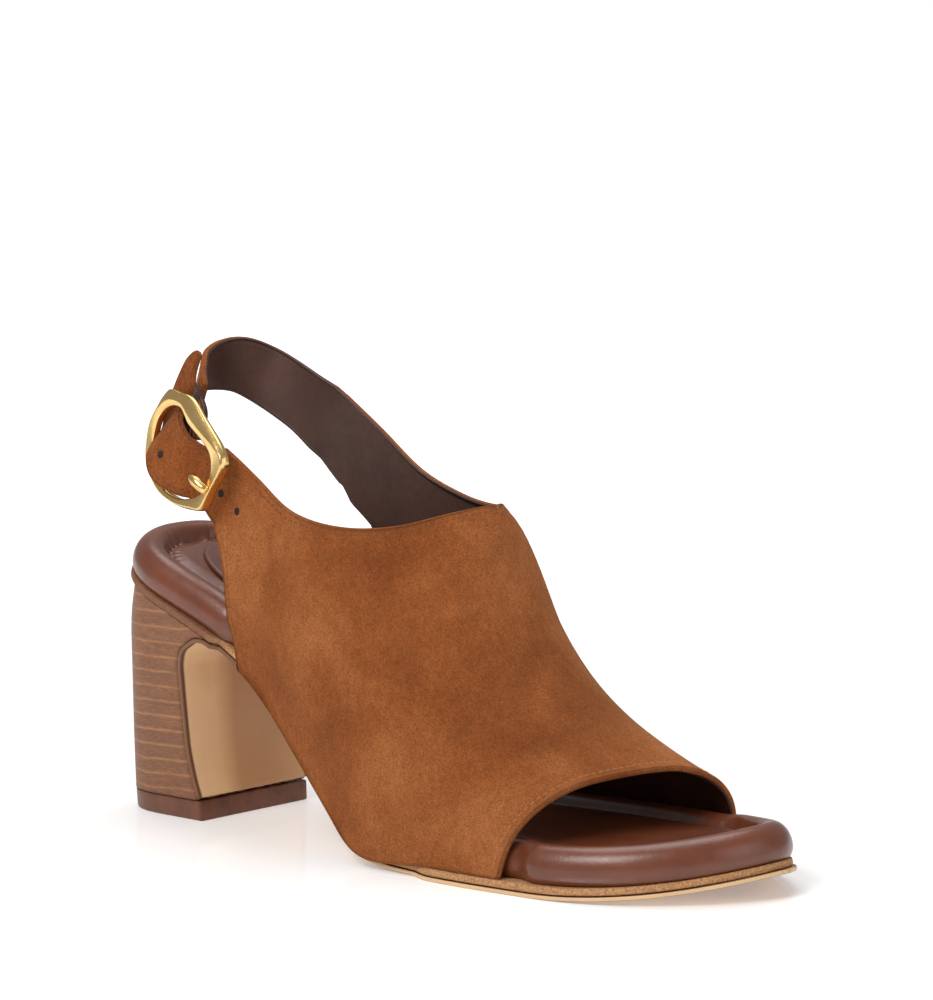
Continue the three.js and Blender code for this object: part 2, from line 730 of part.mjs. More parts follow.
// A strap along a centre line, its face turned away from the ankle. It starts at a root edge, if given.
const ANKLE_AXIS_FORWARD = 1.6;
const ANKLE_AXIS = new THREE.Vector3(ANKLE_AXIS_FORWARD * ANKLE_HALF, 0, 0);
function strapGrid(rows, steps, across, root) {
  const first = root ? [root[0].clone().add(root[across]).multiplyScalar(0.5)] : [];
  const points = [...first, ...rows.map(placeOf)];
  const curve = new THREE.CatmullRomCurve3(points, false, 'centripetal');
  const widths = rows.map((row) => row.width);
  if (root) widths.unshift(root[0].distanceTo(root[across]) / ANKLE_HALF);
  const widthRows = widths.map((width, i) => ({ at: i / (widths.length - 1), width }));
  const grid = root ? [root] : [];
  for (let i = grid.length; i <= steps; i += 1) {
    const t = curve.getUtoTmapping(i / steps);
    const centre = curve.getPoint(t);
    const along = curve.getTangent(t);
    const out = new THREE.Vector3(centre.x - ANKLE_AXIS.x, centre.y - ANKLE_AXIS.y, 0).normalize();
    out.addScaledVector(along, -out.dot(along)).normalize();
    const up = out.clone().cross(along).normalize();
    const width = column(widthRows, 'at', 'width', t) * ANKLE_HALF;
    const row = [];
    for (let j = 0; j <= across; j += 1) {
      row.push(centre.clone().addScaledVector(up, width * (0.5 - j / across)));
    }
    grid.push(row);
  }
  return grid;
}

const STRAP_ACROSS = 4;
const TAB_STEPS = 34;
const SLING_STEPS = 32;
function upperGeometry() {
  const { grid, tabRoot, slingRoot } = upperGrids();
  const tab = strapGrid(tabRows, TAB_STEPS, STRAP_ACROSS, tabRoot);
  const sling = strapGrid(slingRows, SLING_STEPS, STRAP_ACROSS, slingRoot);
  return thicken([grid, tab, sling], UPPER_WALL);
}

const ELASTIC_STEPS = 10;
function elasticGeometry() {
  return thicken([strapGrid(elasticRows, ELASTIC_STEPS, STRAP_ACROSS)], ELASTIC_THICKNESS);
}

// Frame of the buckle ring: right, up and out directions in its own plane
const ringRight = new THREE.Vector3(Math.cos(RING_TURN * radians), -Math.sin(RING_TURN * radians), 0);
const ringUp = new THREE.Vector3(0, Math.sin(RING_LEAN * radians), Math.cos(RING_LEAN * radians));
const ringOut = ringRight.clone().cross(ringUp).normalize();
const RING_STEPS = 44;
const ringCentre = new THREE.Vector3(RING_CENTRE.forward, RING_CENTRE.side, RING_CENTRE.height);

function ringGeometry() {
  const corners = ringRows.map((row) => new THREE.Vector3(row.right, row.up, row.band / RING_HALF_SIZE));
  const curve = new THREE.CatmullRomCurve3(corners, true, 'centripetal');
  const points = [];
  for (let i = 0; i < RING_STEPS; i += 1) {
    const t = i / RING_STEPS;
    const outer = curve.getPoint(t);
    const along = curve.getTangent(t).setZ(0).normalize();
    const band = outer.z * RING_HALF_SIZE;
    ringSection.forEach(({ across, out }) => {
      const right = outer.x * RING_HALF_SIZE + along.y * across * band;
      const up = outer.y * RING_HALF_SIZE - along.x * across * band;
      points.push(ringCentre.clone().addScaledVector(ringRight, right).addScaledVector(ringUp, up)
        .addScaledVector(ringOut, out * RING_THICKNESS / 2));
    });
  }
  const size = ringSection.length;
  const faces = gridFaces(RING_STEPS, size, 0, true);
  for (let j = 0; j < size; j += 1) {
    const last = (RING_STEPS - 1) * size;
    faces.push([last + j, last + (j + 1) % size, (j + 1) % size, j]);
  }
  return geometryOf(points, faces);
}

// Rounded pin along its rows
const PRONG_SIDES = 10;
function prongGeometry() {
  const places = prongRows.map((row) => new THREE.Vector3(row.forward, row.side, row.height));
  const along = places[places.length - 1].clone().sub(places[0]).normalize();
  const across = along.clone().cross(ringOut).normalize();
  const out = across.clone().cross(along).normalize();
  return ringLoft(prongRows.map((row, i) => Array.from({ length: PRONG_SIDES }, (unused, j) => {
    const angle = 2 * Math.PI * j / PRONG_SIDES;
    return places[i].clone()
      .addScaledVector(across, Math.cos(angle) * row.half * PRONG_HALF)
      .addScaledVector(out, -Math.sin(angle) * row.half * PRONG_HALF);
  })));
}

// Colours and finishes
const looks = {
  suede: { color: 0x9a5a2c, roughness: 0.95, metalness: 0 },
  insole: { color: 0x5c3322, roughness: 0.45, metalness: 0 },
  welt: { color: 0xb98a5c, roughness: 0.8, metalness: 0 },
  sole: { color: 0xd9b98a, roughness: 0.6, metalness: 0 },
  stack: { color: 0x5a3524, roughness: 0.5, metalness: 0 },
  rubber: { color: 0x6b3a22, roughness: 0.6, metalness: 0 },
  elastic: { color: 0x4a2a1a, roughness: 0.9, metalness: 0 },
  gold: { color: 0xd9b04a, roughness: 0.2, metalness: 1 },
};

const shoe = new THREE.Group();
function addPiece(name, geometry, look) {
  const mesh = new THREE.Mesh(geometry, new THREE.MeshStandardMaterial(looks[look]));
  mesh.name = name;
  shoe.add(mesh);
  return mesh;
}

addPiece('heel_tap', tapGeometry(), 'rubber');
addPiece('heel_block', heelGeometry(), 'stack');
addPiece('outsole', outsoleGeometry(), 'sole');
addPiece('welt', weltGeometry(), 'welt');
addPiece('footbed', footbedGeometry(), 'insole');
addPiece('heel_sock', sockGeometry(), 'insole');
addPiece('upper', upperGeometry(), 'suede');
addPiece('elastic', elasticGeometry(), 'elastic');
addPiece('buckle_frame', ringGeometry(), 'gold');
addPiece('buckle_prong', prongGeometry(), 'gold');

// The origin goes under the middle of the shoe's box
const bounds = new THREE.Box3().setFromObject(shoe);
const middle = bounds.getCenter(new THREE.Vector3());
shoe.children.forEach((mesh) => mesh.geometry.translate(-middle.x, -middle.y, -bounds.min.z));

export default shoe;
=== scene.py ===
"""Block heel slingback sandal, right foot: the dressed model.

Shapes are worked out in millimetres in the shoe's own directions: x forward from the back of the
heel seat, y to the inner (medial) side, z up from the floor. Each is a function on a grid, or a
profile carried along a path, computed as whole arrays and then moved into the row frame in metres.
"""
import bpy
import numpy as np
from mathutils import Matrix, Vector


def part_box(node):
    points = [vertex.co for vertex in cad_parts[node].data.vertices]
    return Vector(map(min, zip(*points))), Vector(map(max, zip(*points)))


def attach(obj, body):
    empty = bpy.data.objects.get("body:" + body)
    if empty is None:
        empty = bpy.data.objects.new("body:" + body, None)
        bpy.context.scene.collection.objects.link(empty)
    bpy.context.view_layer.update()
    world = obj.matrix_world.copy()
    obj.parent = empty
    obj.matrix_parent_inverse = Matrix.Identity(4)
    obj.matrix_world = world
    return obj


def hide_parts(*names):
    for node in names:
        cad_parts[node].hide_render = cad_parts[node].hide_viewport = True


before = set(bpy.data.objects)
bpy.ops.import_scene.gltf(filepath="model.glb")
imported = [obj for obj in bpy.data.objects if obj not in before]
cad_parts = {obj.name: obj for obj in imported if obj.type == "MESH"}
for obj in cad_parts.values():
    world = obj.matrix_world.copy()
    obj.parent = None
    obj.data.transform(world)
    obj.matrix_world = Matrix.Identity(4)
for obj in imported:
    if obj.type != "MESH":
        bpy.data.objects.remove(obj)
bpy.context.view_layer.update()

MM = 0.001

# Driving sizes, the same as in the part's source
FOOTBED_ARC = 255.0
HEEL_RISE = 74.0
BALL_WIDTH = 84.0
THROAT_HEIGHT = 101.0
OUTSOLE = 1.2
WELT = 2.4
CLEAR = 0.3
HEEL_CAP_LENGTH = 29.5
HEEL_CAP_POWER = 2.25
TOE_TIP_SIDE = 8.0
TOE_CAP_LATERAL = 54.0
TOE_CAP_MEDIAL = 52.0
TAP_HEIGHT = 6.0
TAP_WIDTH = 45.6
TAP_DEPTH = 38.0
TAP_FRONT = 38.2
TAP_FLARE = 0.6
TAP_RAKE = 0.8
TONGUE_END = 50.0
SEAT_INSET = 1.4
SEAT_INSET_END = 62.0
HEEL_TUCK = 0.7
SHANK_FROM, SHANK_BLEND = 54.0, 5.0
SHANK_TO, SHANK_EASE = 126.0, 44.0
SHANK_TUCK = 2.6
SHANK_LEAD = 6.0
SHANK_DROP = 3.5
TOE_TUCK = 1.6
RIM_INSET = 0.7
PAD_HEIGHT = 8.8
SOCK_START = 19.0
SOCK_LENGTH = 62.0
SOCK_WIDTH = 31.0
UPPER_WALL = 2.0
UPPER_LIFT = 0.6
ANKLE_HALF = 30.0
RING_HALF_SIZE = 17.3
RING_THICKNESS = 3.0
RING_CENTRE = np.array([1.517 * ANKLE_HALF, -1.217 * ANKLE_HALF, 1.121 * THROAT_HEIGHT])
RING_TURN = 8.0
RING_LEAN = 6.0

# The row frame's origin, from the tap, whose front and middle are known
TAP_LOW, TAP_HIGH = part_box("heel_tap")
ORIGIN = np.array([TAP_HIGH[0] / MM - TAP_FRONT, (TAP_LOW[1] + TAP_HIGH[1]) / 2 / MM, TAP_LOW[2] / MM])


# share of the footbed's arc, slope in degrees
SLOPES = np.array([
    (0, 16), (0.14, 16), (0.27, 26), (0.38, 32.5), (0.48, 32.5), (0.58, 4.5), (0.66, 0),
    (0.76, 0), (0.86, -4.5), (1, -15.5),
])
# share of the arc, medial and lateral half width as shares of BALL_WIDTH
OUTLINE = np.array([
    (0, 0.345, 0.365), (0.13, 0.35, 0.365), (0.25, 0.345, 0.355), (0.38, 0.34, 0.4),
    (0.48, 0.36, 0.44), (0.58, 0.42, 0.485), (0.68, 0.47, 0.485), (0.78, 0.495, 0.465),
    (0.88, 0.47, 0.44), (1, 0.43, 0.405),
])
# share of the plan length, height / THROAT_HEIGHT, power, side / BALL_WIDTH
CREST = np.array([
    (0.1, 2.45, 2.2, 0.04), (0.2, 2.3, 2.2, 0.04), (0.34, 1.95, 2.1, 0.04),
    (0.45, 1.48, 1.95, 0.04), (0.517, 1.15, 1.8, 0.04), (0.55, 1.035, 1.75, 0.045),
    (0.569, 0.985, 1.75, 0.05), (0.608, 0.767, 1.8, 0.055), (0.66, 0.57, 1.9, 0.08),
    (0.716, 0.435, 2, 0.11), (0.754, 0.373, 2.05, 0.13), (0.795, 0.32, 2.15, 0.15),
    (0.828, 0.286, 2.25, 0.17), (0.9, 0.256, 2.25, 0.17),
])
# turn about the last, share of the plan length
OPENING = np.array([
    (0, 0.727), (0.1, 0.739), (0.2, 0.757), (0.3, 0.777), (0.4, 0.797), (0.5, 0.81),
    (0.6, 0.821), (0.7, 0.828), (0.8, 0.83), (0.9, 0.827), (1, 0.82),
])
# Back edge of the upper: runs of (share of the plan length, height / THROAT_HEIGHT)
BACK_RUNS = [
    ("lateral", 6, [(0.257, 0.53), (0.248, 0.64), (0.25, 0.8), (0.236, 0.92)]),
    ("lateral", 4, [(0.236, 0.92), (0.25, 1.13)]),
    ("lateral", 11, [(0.25, 1.13), (0.3, 1.055), (0.36, 0.972), (0.43, 0.938), (0.5, 0.945),
                     (0.55, 0.985), (0.569, 1)]),
    ("medial", 9, [(0.569, 1), (0.53, 0.978), (0.477, 0.971), (0.427, 0.989), (0.36, 1.043),
                   (0.289, 1.148), (0.227, 1.238)]),
    ("medial", 4, [(0.227, 1.238), (0.178, 1.045)]),
    ("medial", 6, [(0.178, 1.045), (0.212, 0.975), (0.25, 0.913), (0.27, 0.852), (0.278, 0.76),
                   (0.274, 0.64), (0.266, 0.53)]),
]
TAB_RUN, SLING_RUN = 1, 4
# forward, side (of ANKLE_HALF), height (of THROAT_HEIGHT), width (of ANKLE_HALF), outward lean of the
# upper edge in degrees
SLING = np.array([
    (1.08, 0.94, 1.215, 0.6, 0), (0.64, 0.845, 1.283, 0.575, 0), (0.49, 0.64, 1.317, 0.55, -3),
    (0.44, 0.35, 1.325, 0.5, -12), (0.51, 0.04, 1.316, 0.46, -24), (0.68, -0.19, 1.285, 0.41, -28),
    (0.86, -0.35, 1.243, 0.36, -24),
])
# both edges of the tab in the ring's plane: right, up, out of the low edge, then of the high one
TAB = np.array([
    (0.366, -0.908, -0.208, 0.519, -0.015, -0.208), (0.136, -0.778, -0.139, 0.363, 0.072, -0.15),
    (-0.006, -0.744, 0.012, 0.253, 0.152, -0.058), (-0.182, -0.678, 0.139, 0.128, 0.224, 0.023),
    (-0.371, -0.588, 0.237, -0.008, 0.339, 0.046), (-0.539, -0.426, 0.295, -0.127, 0.449, 0.029),
    (-0.665, -0.182, 0.283, -0.25, 0.552, -0.023), (-0.75, 0.04, 0.15, -0.354, 0.64, -0.11),
    (-0.82, 0.3, -0.11, -0.41, 0.774, -0.18), (-0.85, 0.6, -0.19, -0.364, 0.882, -0.22),
    (-0.76, 0.939, -0.235, -0.275, 1.077, -0.243), (-0.593, 1.276, -0.243, -0.26, 1.316, -0.254),
    (-0.415, 1.526, -0.237, -0.186, 1.508, -0.249), (-0.265, 1.641, -0.231, -0.128, 1.605, -0.243),
    (-0.2, 1.668, -0.231, -0.15, 1.66, -0.237),
])
# both edges of the elastic, as the tab's
ELASTIC = np.array([
    (-0.487, 0.572, -0.37, 0.123, 0.653, -0.37), (-0.59, 0.358, -0.358, 0.12, 0.431, -0.358),
    (-0.562, 0.137, -0.324, 0.162, 0.213, -0.324),
])
# right and up (of RING_HALF_SIZE) of the ring's outer and inner corners
RING_OUTER = np.array([
    (-0.481, 1.017), (-0.18, 0.98), (0.121, 0.917), (0.59, 0.53), (1.05, 0.13), (1.15, -0.02),
    (1.165, -0.145), (1.12, -0.266), (0.88, -0.608), (0.66, -0.93), (0.6, -0.96), (0.327, -0.967),
    (-0.041, -0.934), (-0.421, -0.825), (-0.648, -0.7), (-0.892, -0.431), (-1.02, -0.187), (-1.019, 0.071),
    (-0.979, 0.366), (-0.79, 0.722), (-0.588, 0.959),
])
RING_INNER = np.array([
    (-0.225, 0.745), (-0.066, 0.706), (0.142, 0.469), (0.472, 0.259), (0.713, 0.077), (0.8, -0.084),
    (0.825, -0.317), (0.719, -0.477), (0.625, -0.637), (0.414, -0.741), (0.085, -0.805),
    (-0.201, -0.763), (-0.47, -0.635), (-0.681, -0.398), (-0.781, -0.133), (-0.795, 0.122),
    (-0.705, 0.47), (-0.553, 0.635), (-0.419, 0.713),
])
# turn round the ring in degrees from its right, where the bevel's ridge lies across the band
RING_RIDGE = np.array([
    (-180, 0.3), (-90, 0.3), (-71, 0.25), (-57, 0.08), (-33, 0.06), (-8, 0.06), (0, 0.12), (8, 0.32),
    (40, 0.6), (82, 0.66), (115, 0.6), (135, 0.42), (150, 0.32), (180, 0.3),
])
# across the band: from 0 to 1 out to the ridge, from 1 to 2 past it; out as a share of half the thickness
RING_SECTION = np.array([
    (0.06, -0.86), (0.0, -0.55), (0.0, 0.05), (0.12, 0.3), (0.5, 0.66), (0.85, 0.97), (1.0, 1.0),
    (1.12, 0.99), (1.5, 0.93), (1.8, 0.84), (1.93, 0.7), (1.98, 0.45), (2.0, 0.1), (2.0, -0.45),
    (1.93, -0.8), (1.8, -0.97), (1.2, -1.0), (0.4, -0.98),
])
# right, up, out (of RING_HALF_SIZE) and the pin's half width (of PIN_HALF_WIDTH)
PRONG = np.array([
    (0.793, -0.605, 0.058, 0.5), (0.789, -0.581, 0.11, 0.9), (0.734, -0.545, 0.145, 1),
    (0.618, -0.472, 0.168, 1.1), (0.508, -0.415, 0.173, 0.85), (0.427, -0.38, 0.168, 0.4),
])
# share of the height, how far forward of the tap's front as a share of BREAST_SPAN
BREAST = np.array([
    (0, -0.2), (0.13, -0.425), (0.32, -0.59), (0.53, -0.6), (0.72, -0.59), (0.8, -0.475),
    (0.86, -0.25), (0.9, 0.02), (0.94, 0.3), (0.97, 0.55), (0.985, 0.75), (1, 1),
])
BREAST_SPAN = 8.0
# inset from the footbed's edge and height over its underside
FOOTBED = np.array([
    (1.2, 0.3), (0.2, 2.2), (0, 5), (0.9, 7.9), (2.8, 10), (5.2, 10.8), (7.8, 10), (9.6, 8),
    (10.6, 7.2), (12.2, 8), (15, 8.8),
])


# Curves
def smooth(rows, at, column=1):
    """Monotone cubic through the table's rows: harmonic mean of the neighbouring slopes as tangents."""
    x, y = rows[:, 0].astype(float), rows[:, column].astype(float)
    at = np.clip(at, x[0], x[-1])
    step = np.diff(x)
    slope = np.diff(y) / step
    left, right = 2 * step[1:] + step[:-1], step[1:] + 2 * step[:-1]
    same = slope[:-1] * slope[1:] > 0
    safe = np.where(same, slope[:-1], 1), np.where(same, slope[1:], 1)
    middle = np.where(same, (left + right) / (left / safe[0] + right / safe[1]), 0)
    tangent = np.concatenate([slope[:1], middle, slope[-1:]])
    i = np.clip(np.searchsorted(x, at, side="left") - 1, 0, len(x) - 2)
    t = (at - x[i]) / step[i]
    return ((2 * t ** 3 - 3 * t ** 2 + 1) * y[i] + (t ** 3 - 2 * t ** 2 + t) * step[i] * tangent[i]
            + (3 * t ** 2 - 2 * t ** 3) * y[i + 1] + (t ** 3 - t ** 2) * step[i] * tangent[i + 1])


def through(points, t, closed=False):
    """Centripetal spline through the points: knots spaced by the root of the chords, t from 0 to 1."""
    points = np.asarray(points, float)
    if closed:
        p = np.vstack([points[-1:], points, points[:2]])
        spans = len(points)
    else:
        p = np.vstack([2 * points[:1] - points[1:2], points, 2 * points[-1:] - points[-2:-1]])
        spans = len(points) - 1
    place = np.clip(np.asarray(t, float), 0, 1) * spans
    i = np.minimum(place.astype(int), spans - 1)
    w = (place - i)[..., None]
    a, b, c, d = p[i], p[i + 1], p[i + 2], p[i + 3]
    root = lambda u, v: np.sqrt(np.linalg.norm(v - u, axis=-1, keepdims=True)) + 1e-9
    ab, bc, cd = root(a, b), root(b, c), root(c, d)
    start = ((b - a) / ab - (c - a) / (ab + bc) + (c - b) / bc) * bc
    end = ((c - b) / bc - (d - b) / (bc + cd) + (d - c) / cd) * bc
    return ((2 * w ** 3 - 3 * w ** 2 + 1) * b + (w ** 3 - 2 * w ** 2 + w) * start
            + (3 * w ** 2 - 2 * w ** 3) * c + (w ** 3 - w ** 2) * end)


def running(steps, axis=0):
    """Running total of steps along an axis, from 0."""
    total = np.cumsum(steps, axis=axis)
    return np.concatenate([np.zeros_like(total.take([0], axis)), total], axis)


def run_length(places, axis=0):
    """Length run along a row of places."""
    return running(np.linalg.norm(np.diff(places, axis=axis), axis=-1), axis)


ARC_SAMPLES = 801


def even_shares(points, count):
    """Spline parameters that cut the curve into count equal lengths."""
    t = np.linspace(0, 1, ARC_SAMPLES)
    length = run_length(through(points, t))
    return np.interp(np.linspace(0, length[-1], count + 1), length, t)


def ease(t):
    """Smooth step from 0 to 1."""
    t = np.clip(t, 0, 1)
    return t * t * (3 - 2 * t)


def mix(a, b, t):
    """Straight line from a to b."""
    return a + (b - a) * t


def unit(v):
    """Vectors brought to length 1."""
    return v / (np.linalg.norm(v, axis=-1, keepdims=True) + 1e-12)


def waves(x, y, seed, scale, count=9):
    """Soft unevenness: a sum of sines in chance directions, about -1 to 1, scale is its wavelength."""
    rng = np.random.default_rng(seed)
    total = np.zeros(np.broadcast(x, y).shape)
    chances = [rng.uniform(low, high, count) for low, high in ((0, np.pi), (0, 6.28), (0.6, 1.7))]
    for turn, phase, size in zip(*chances):
        total += np.sin((x * np.cos(turn) + y * np.sin(turn)) * 2 * np.pi / (scale * size) + phase)
    return total / np.sqrt(count)


# The footbed line: slope along the arc, scaled until it falls by HEEL_RISE
LINE_STEPS = 960


def footbed_line():
    """Running sum of the slope's cosine and sine along the arc."""
    angles = np.radians(smooth(SLOPES, np.linspace(0, 1, LINE_STEPS + 1)))
    scale, step = 1.0, FOOTBED_ARC / LINE_STEPS / 2
    for _ in range(12):
        angle = np.where(angles > 0, angles * scale, angles)
        x = running(np.cos(angle[1:]) + np.cos(angle[:-1])) * step
        z = -running(np.sin(angle[1:]) + np.sin(angle[:-1])) * step
        scale *= HEEL_RISE / -z.min()
    return np.linspace(0, FOOTBED_ARC, LINE_STEPS + 1), x, z - z.min(), angle


LINE_S, LINE_X, LINE_Z, LINE_ANGLE = footbed_line()
PLAN = LINE_X[-1]


def arc_at(x):
    """Arc length under a plan place."""
    return np.interp(x, LINE_X, LINE_S)


def bend(s, y, h):
    """A flat pattern place (s along, y across, h over the welt's top) bent into the shoe."""
    s, y, h = np.broadcast_arrays(*(np.asarray(v, float) for v in (s, y, h)))
    angle = np.interp(s, LINE_S, LINE_ANGLE)
    over = s - np.clip(s, 0, FOOTBED_ARC)
    x = np.interp(s, LINE_S, LINE_X) + over * np.cos(angle) + h * np.sin(angle)
    z = np.interp(s, LINE_S, LINE_Z) - over * np.sin(angle) + h * np.cos(angle)
    return np.stack([x, y, z + OUTSOLE + WELT], -1)


def sole_sides(s):
    """Signed half widths of the sole in the flat, rounded at heel and toe: (lateral, medial)."""
    share = s / FOOTBED_ARC
    heel = (1 - np.clip(1 - s / HEEL_CAP_LENGTH, 0, 1) ** HEEL_CAP_POWER) ** (1 / HEEL_CAP_POWER)
    round_off = lambda length: np.sqrt(1 - np.clip(1 - (FOOTBED_ARC - s) / length, 0, 1) ** 2)
    lateral_round, medial_round = round_off(TOE_CAP_LATERAL), round_off(TOE_CAP_MEDIAL)
    lateral = smooth(OUTLINE, share, 2) * BALL_WIDTH * heel
    medial = smooth(OUTLINE, share, 1) * BALL_WIDTH * heel
    return (TOE_TIP_SIDE * (1 - lateral_round) - lateral * lateral_round,
            TOE_TIP_SIDE * (1 - medial_round) + medial * medial_round)


def stations(count):
    """Arc places, closer together at both ends."""
    even = np.linspace(0, 1, count + 1)
    return FOOTBED_ARC * mix(even, (1 - np.cos(np.pi * even)) / 2, 0.8)


def outline_ring(count):
    """Closed flat outline (s, y, side, inward normal): lateral side to the toe and back along the medial."""
    s = stations(count)
    lateral, medial = sole_sides(s)
    ring_s = np.concatenate([s, s[-2:0:-1]])
    ring_y = np.concatenate([lateral, medial[-2:0:-1]])
    side = np.concatenate([np.full(count + 1, -1), np.full(count - 1, 1)])
    ds = np.roll(ring_s, -1) - np.roll(ring_s, 1)
    dy = np.roll(ring_y, -1) - np.roll(ring_y, 1)
    length = np.hypot(ds, dy)
    return ring_s, ring_y, side, -dy / length, ds / length


def seat_inset(s):
    """How far the welt and the heel's top draw in round the heel."""
    return SEAT_INSET * (1 - ease(s / SEAT_INSET_END))


def shank_share(s):
    """1 along the shank, where the upper comes down over the edge of the sole."""
    return ease((s - SHANK_FROM) / SHANK_BLEND) * (1 - ease((s - SHANK_TO) / SHANK_EASE))


def sole_inset(s):
    """The welt and outsole draw in at the heel and behind the upper along the shank."""
    toe = TOE_TUCK * ease((s - FOOTBED_ARC) / TOE_CAP_LATERAL + 1)
    return seat_inset(s) + SHANK_TUCK * ease(shank_share(s) * SHANK_LEAD) + toe


# Meshes
def grid_faces(rows, columns, start=0, closed=False):
    """Quads between neighbouring rows and columns of a grid."""
    i, j = np.meshgrid(np.arange(rows - 1), np.arange(columns if closed else columns - 1), indexing="ij")
    a = start + i * columns + j
    b = start + i * columns + (j + 1) % columns
    return np.stack([a, b, b + columns, a + columns], -1).reshape(-1, 4)


def add_piece(name, points, faces, materials, slot, replaces=(), face_material=None, colours=None):
    """A mesh object in the row frame that rides on the body, from places in shoe millimetres."""
    mesh = bpy.data.meshes.new(name)
    places = (np.asarray(points, float).reshape(-1, 3) + ORIGIN) * MM
    if isinstance(faces, np.ndarray):
        faces = faces.tolist()
    mesh.from_pydata(places.tolist(), [], faces)
    for material in materials:
        mesh.materials.append(material)
    if face_material is not None:
        mesh.polygons.foreach_set("material_index", np.asarray(face_material, np.int32))
    mesh.polygons.foreach_set("use_smooth", np.full(len(mesh.polygons), True))
    for key, values in (colours or {}).items():
        layer = mesh.attributes.new(key, "FLOAT", "POINT")
        layer.data.foreach_set("value", np.asarray(values, np.float32).ravel())
    mesh.update()
    piece = bpy.data.objects.new(name, mesh)
    bpy.context.scene.collection.objects.link(piece)
    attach(piece, "root")
    if replaces:
        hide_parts(*replaces)
    return piece


def end_ladder(start, size, up):
    """Faces across a ring of places that close it."""
    faces = []
    for i in range(size // 2):
        quad = [start + i, start + i + 1, start + (size - i - 1) % size, start + (size - i) % size]
        quad = list(dict.fromkeys(quad))
        faces.append(quad if up else quad[::-1])
    return faces


def loft_closed(rings):
    """Rings joined in turn; each end closed by a ladder across. Returns points and a list of faces."""
    rings = np.asarray(rings, float)
    rows, size = rings.shape[:2]
    faces = grid_faces(rows, size, 0, True).tolist()
    faces += end_ladder(0, size, False) + end_ladder((rows - 1) * size, size, True)
    return rings.reshape(-1, 3), faces


def normals_of(points, faces):
    """Area-weighted vertex normals of a quad mesh from its diagonals' cross product."""
    a, b, c, d = (points[faces[:, k]] for k in range(4))
    face = np.cross(c - a, d - b)
    total = np.zeros_like(points)
    for k in range(4):
        np.add.at(total, faces[:, k], face)
    return unit(total)


# Materials
def srgb(r, g, b):
    """Colour from 0-255 screen values to the shader's linear values."""
    c = np.array([r, g, b]) / 255
    return (*np.where(c <= 0.04045, c / 12.92, ((c + 0.055) / 1.055) ** 2.4), 1.0)


def feed(tree, socket, value):
    """Sets a socket to a value, or links it to another node's output."""
    if hasattr(value, "is_linked"):
        tree.links.new(value, socket)
    else:
        socket.default_value = value


def new_node(tree, kind, **inputs):
    """A node with its inputs fed; an underscore stands for the blank in an input's name."""
    node = tree.nodes.new(kind)
    for key, value in inputs.items():
        feed(tree, node.inputs[key.replace("_", " ")], value)
    return node


class Finish:
    """A node material on Object coordinates, built up step by step."""

    def __init__(self, name, roughness=0.5, metallic=0.0, **sockets):
        self.material = bpy.data.materials.new(name)
        self.material.use_nodes = True
        self.tree = self.material.node_tree
        self.shader = self.tree.nodes["Principled BSDF"]
        self.set(Roughness=roughness, Metallic=metallic, **sockets)
        self.place = new_node(self.tree, "ShaderNodeTexCoord").outputs["Object"]

    def set(self, **sockets):
        """Feeds the shader's sockets and returns the material."""
        for key, value in sockets.items():
            feed(self.tree, self.shader.inputs[key.replace("_", " ")], value)
        return self.material

    def noise(self, scale, detail=3.0, stretch=(1, 1, 1), rough=0.55, distortion=0.0):
        """Fractal noise with features about 1 / scale metres wide."""
        place = self.place
        if stretch != (1, 1, 1):
            place = new_node(self.tree, "ShaderNodeMapping", Vector=place, Scale=stretch).outputs["Vector"]
        return new_node(self.tree, "ShaderNodeTexNoise", Vector=place, Scale=scale, Detail=detail,
                        Roughness=rough, Distortion=distortion).outputs["Fac"]

    def cells(self, scale):
        """Distance in a cell pattern."""
        return new_node(self.tree, "ShaderNodeTexVoronoi", Vector=self.place, Scale=scale).outputs["Distance"]

    def attribute(self, name):
        """The piece's own point attribute."""
        node = new_node(self.tree, "ShaderNodeAttribute")
        node.attribute_name = name
        return node.outputs["Fac"]

    def ramp(self, factor, *stops):
        """Colours at places along the factor."""
        node = new_node(self.tree, "ShaderNodeValToRGB", Fac=factor)
        elements = node.color_ramp.elements
        while len(elements) < len(stops):
            elements.new(0.5)
        for element, (place, colour) in zip(elements, stops):
            element.position = place
            element.color = colour if len(np.atleast_1d(colour)) == 4 else (colour,) * 3 + (1,)
        return node.outputs["Color"]

    def blend(self, factor, a, b, kind="MIX"):
        """Two colours mixed by a factor."""
        node = new_node(self.tree, "ShaderNodeMix")
        node.data_type, node.blend_type = "RGBA", kind
        for place, value in ((0, factor), (6, a), (7, b)):
            feed(self.tree, node.inputs[place], value)
        return node.outputs[2]

    def maths(self, kind, *values):
        """One sum on values."""
        node = new_node(self.tree, "ShaderNodeMath")
        node.operation = kind
        for socket, value in zip(node.inputs, values):
            feed(self.tree, socket, value)
        return node.outputs[0]

    def part(self, axis):
        """One coordinate of the place."""
        return new_node(self.tree, "ShaderNodeSeparateXYZ", Vector=self.place).outputs[axis]

    def bump(self, height, distance, strength=1.0, **under):
        """Relief of a given depth in metres, on top of an earlier Normal."""
        return new_node(self.tree, "ShaderNodeBump", Height=height, Distance=distance, Strength=strength,
                        **under).outputs["Normal"]


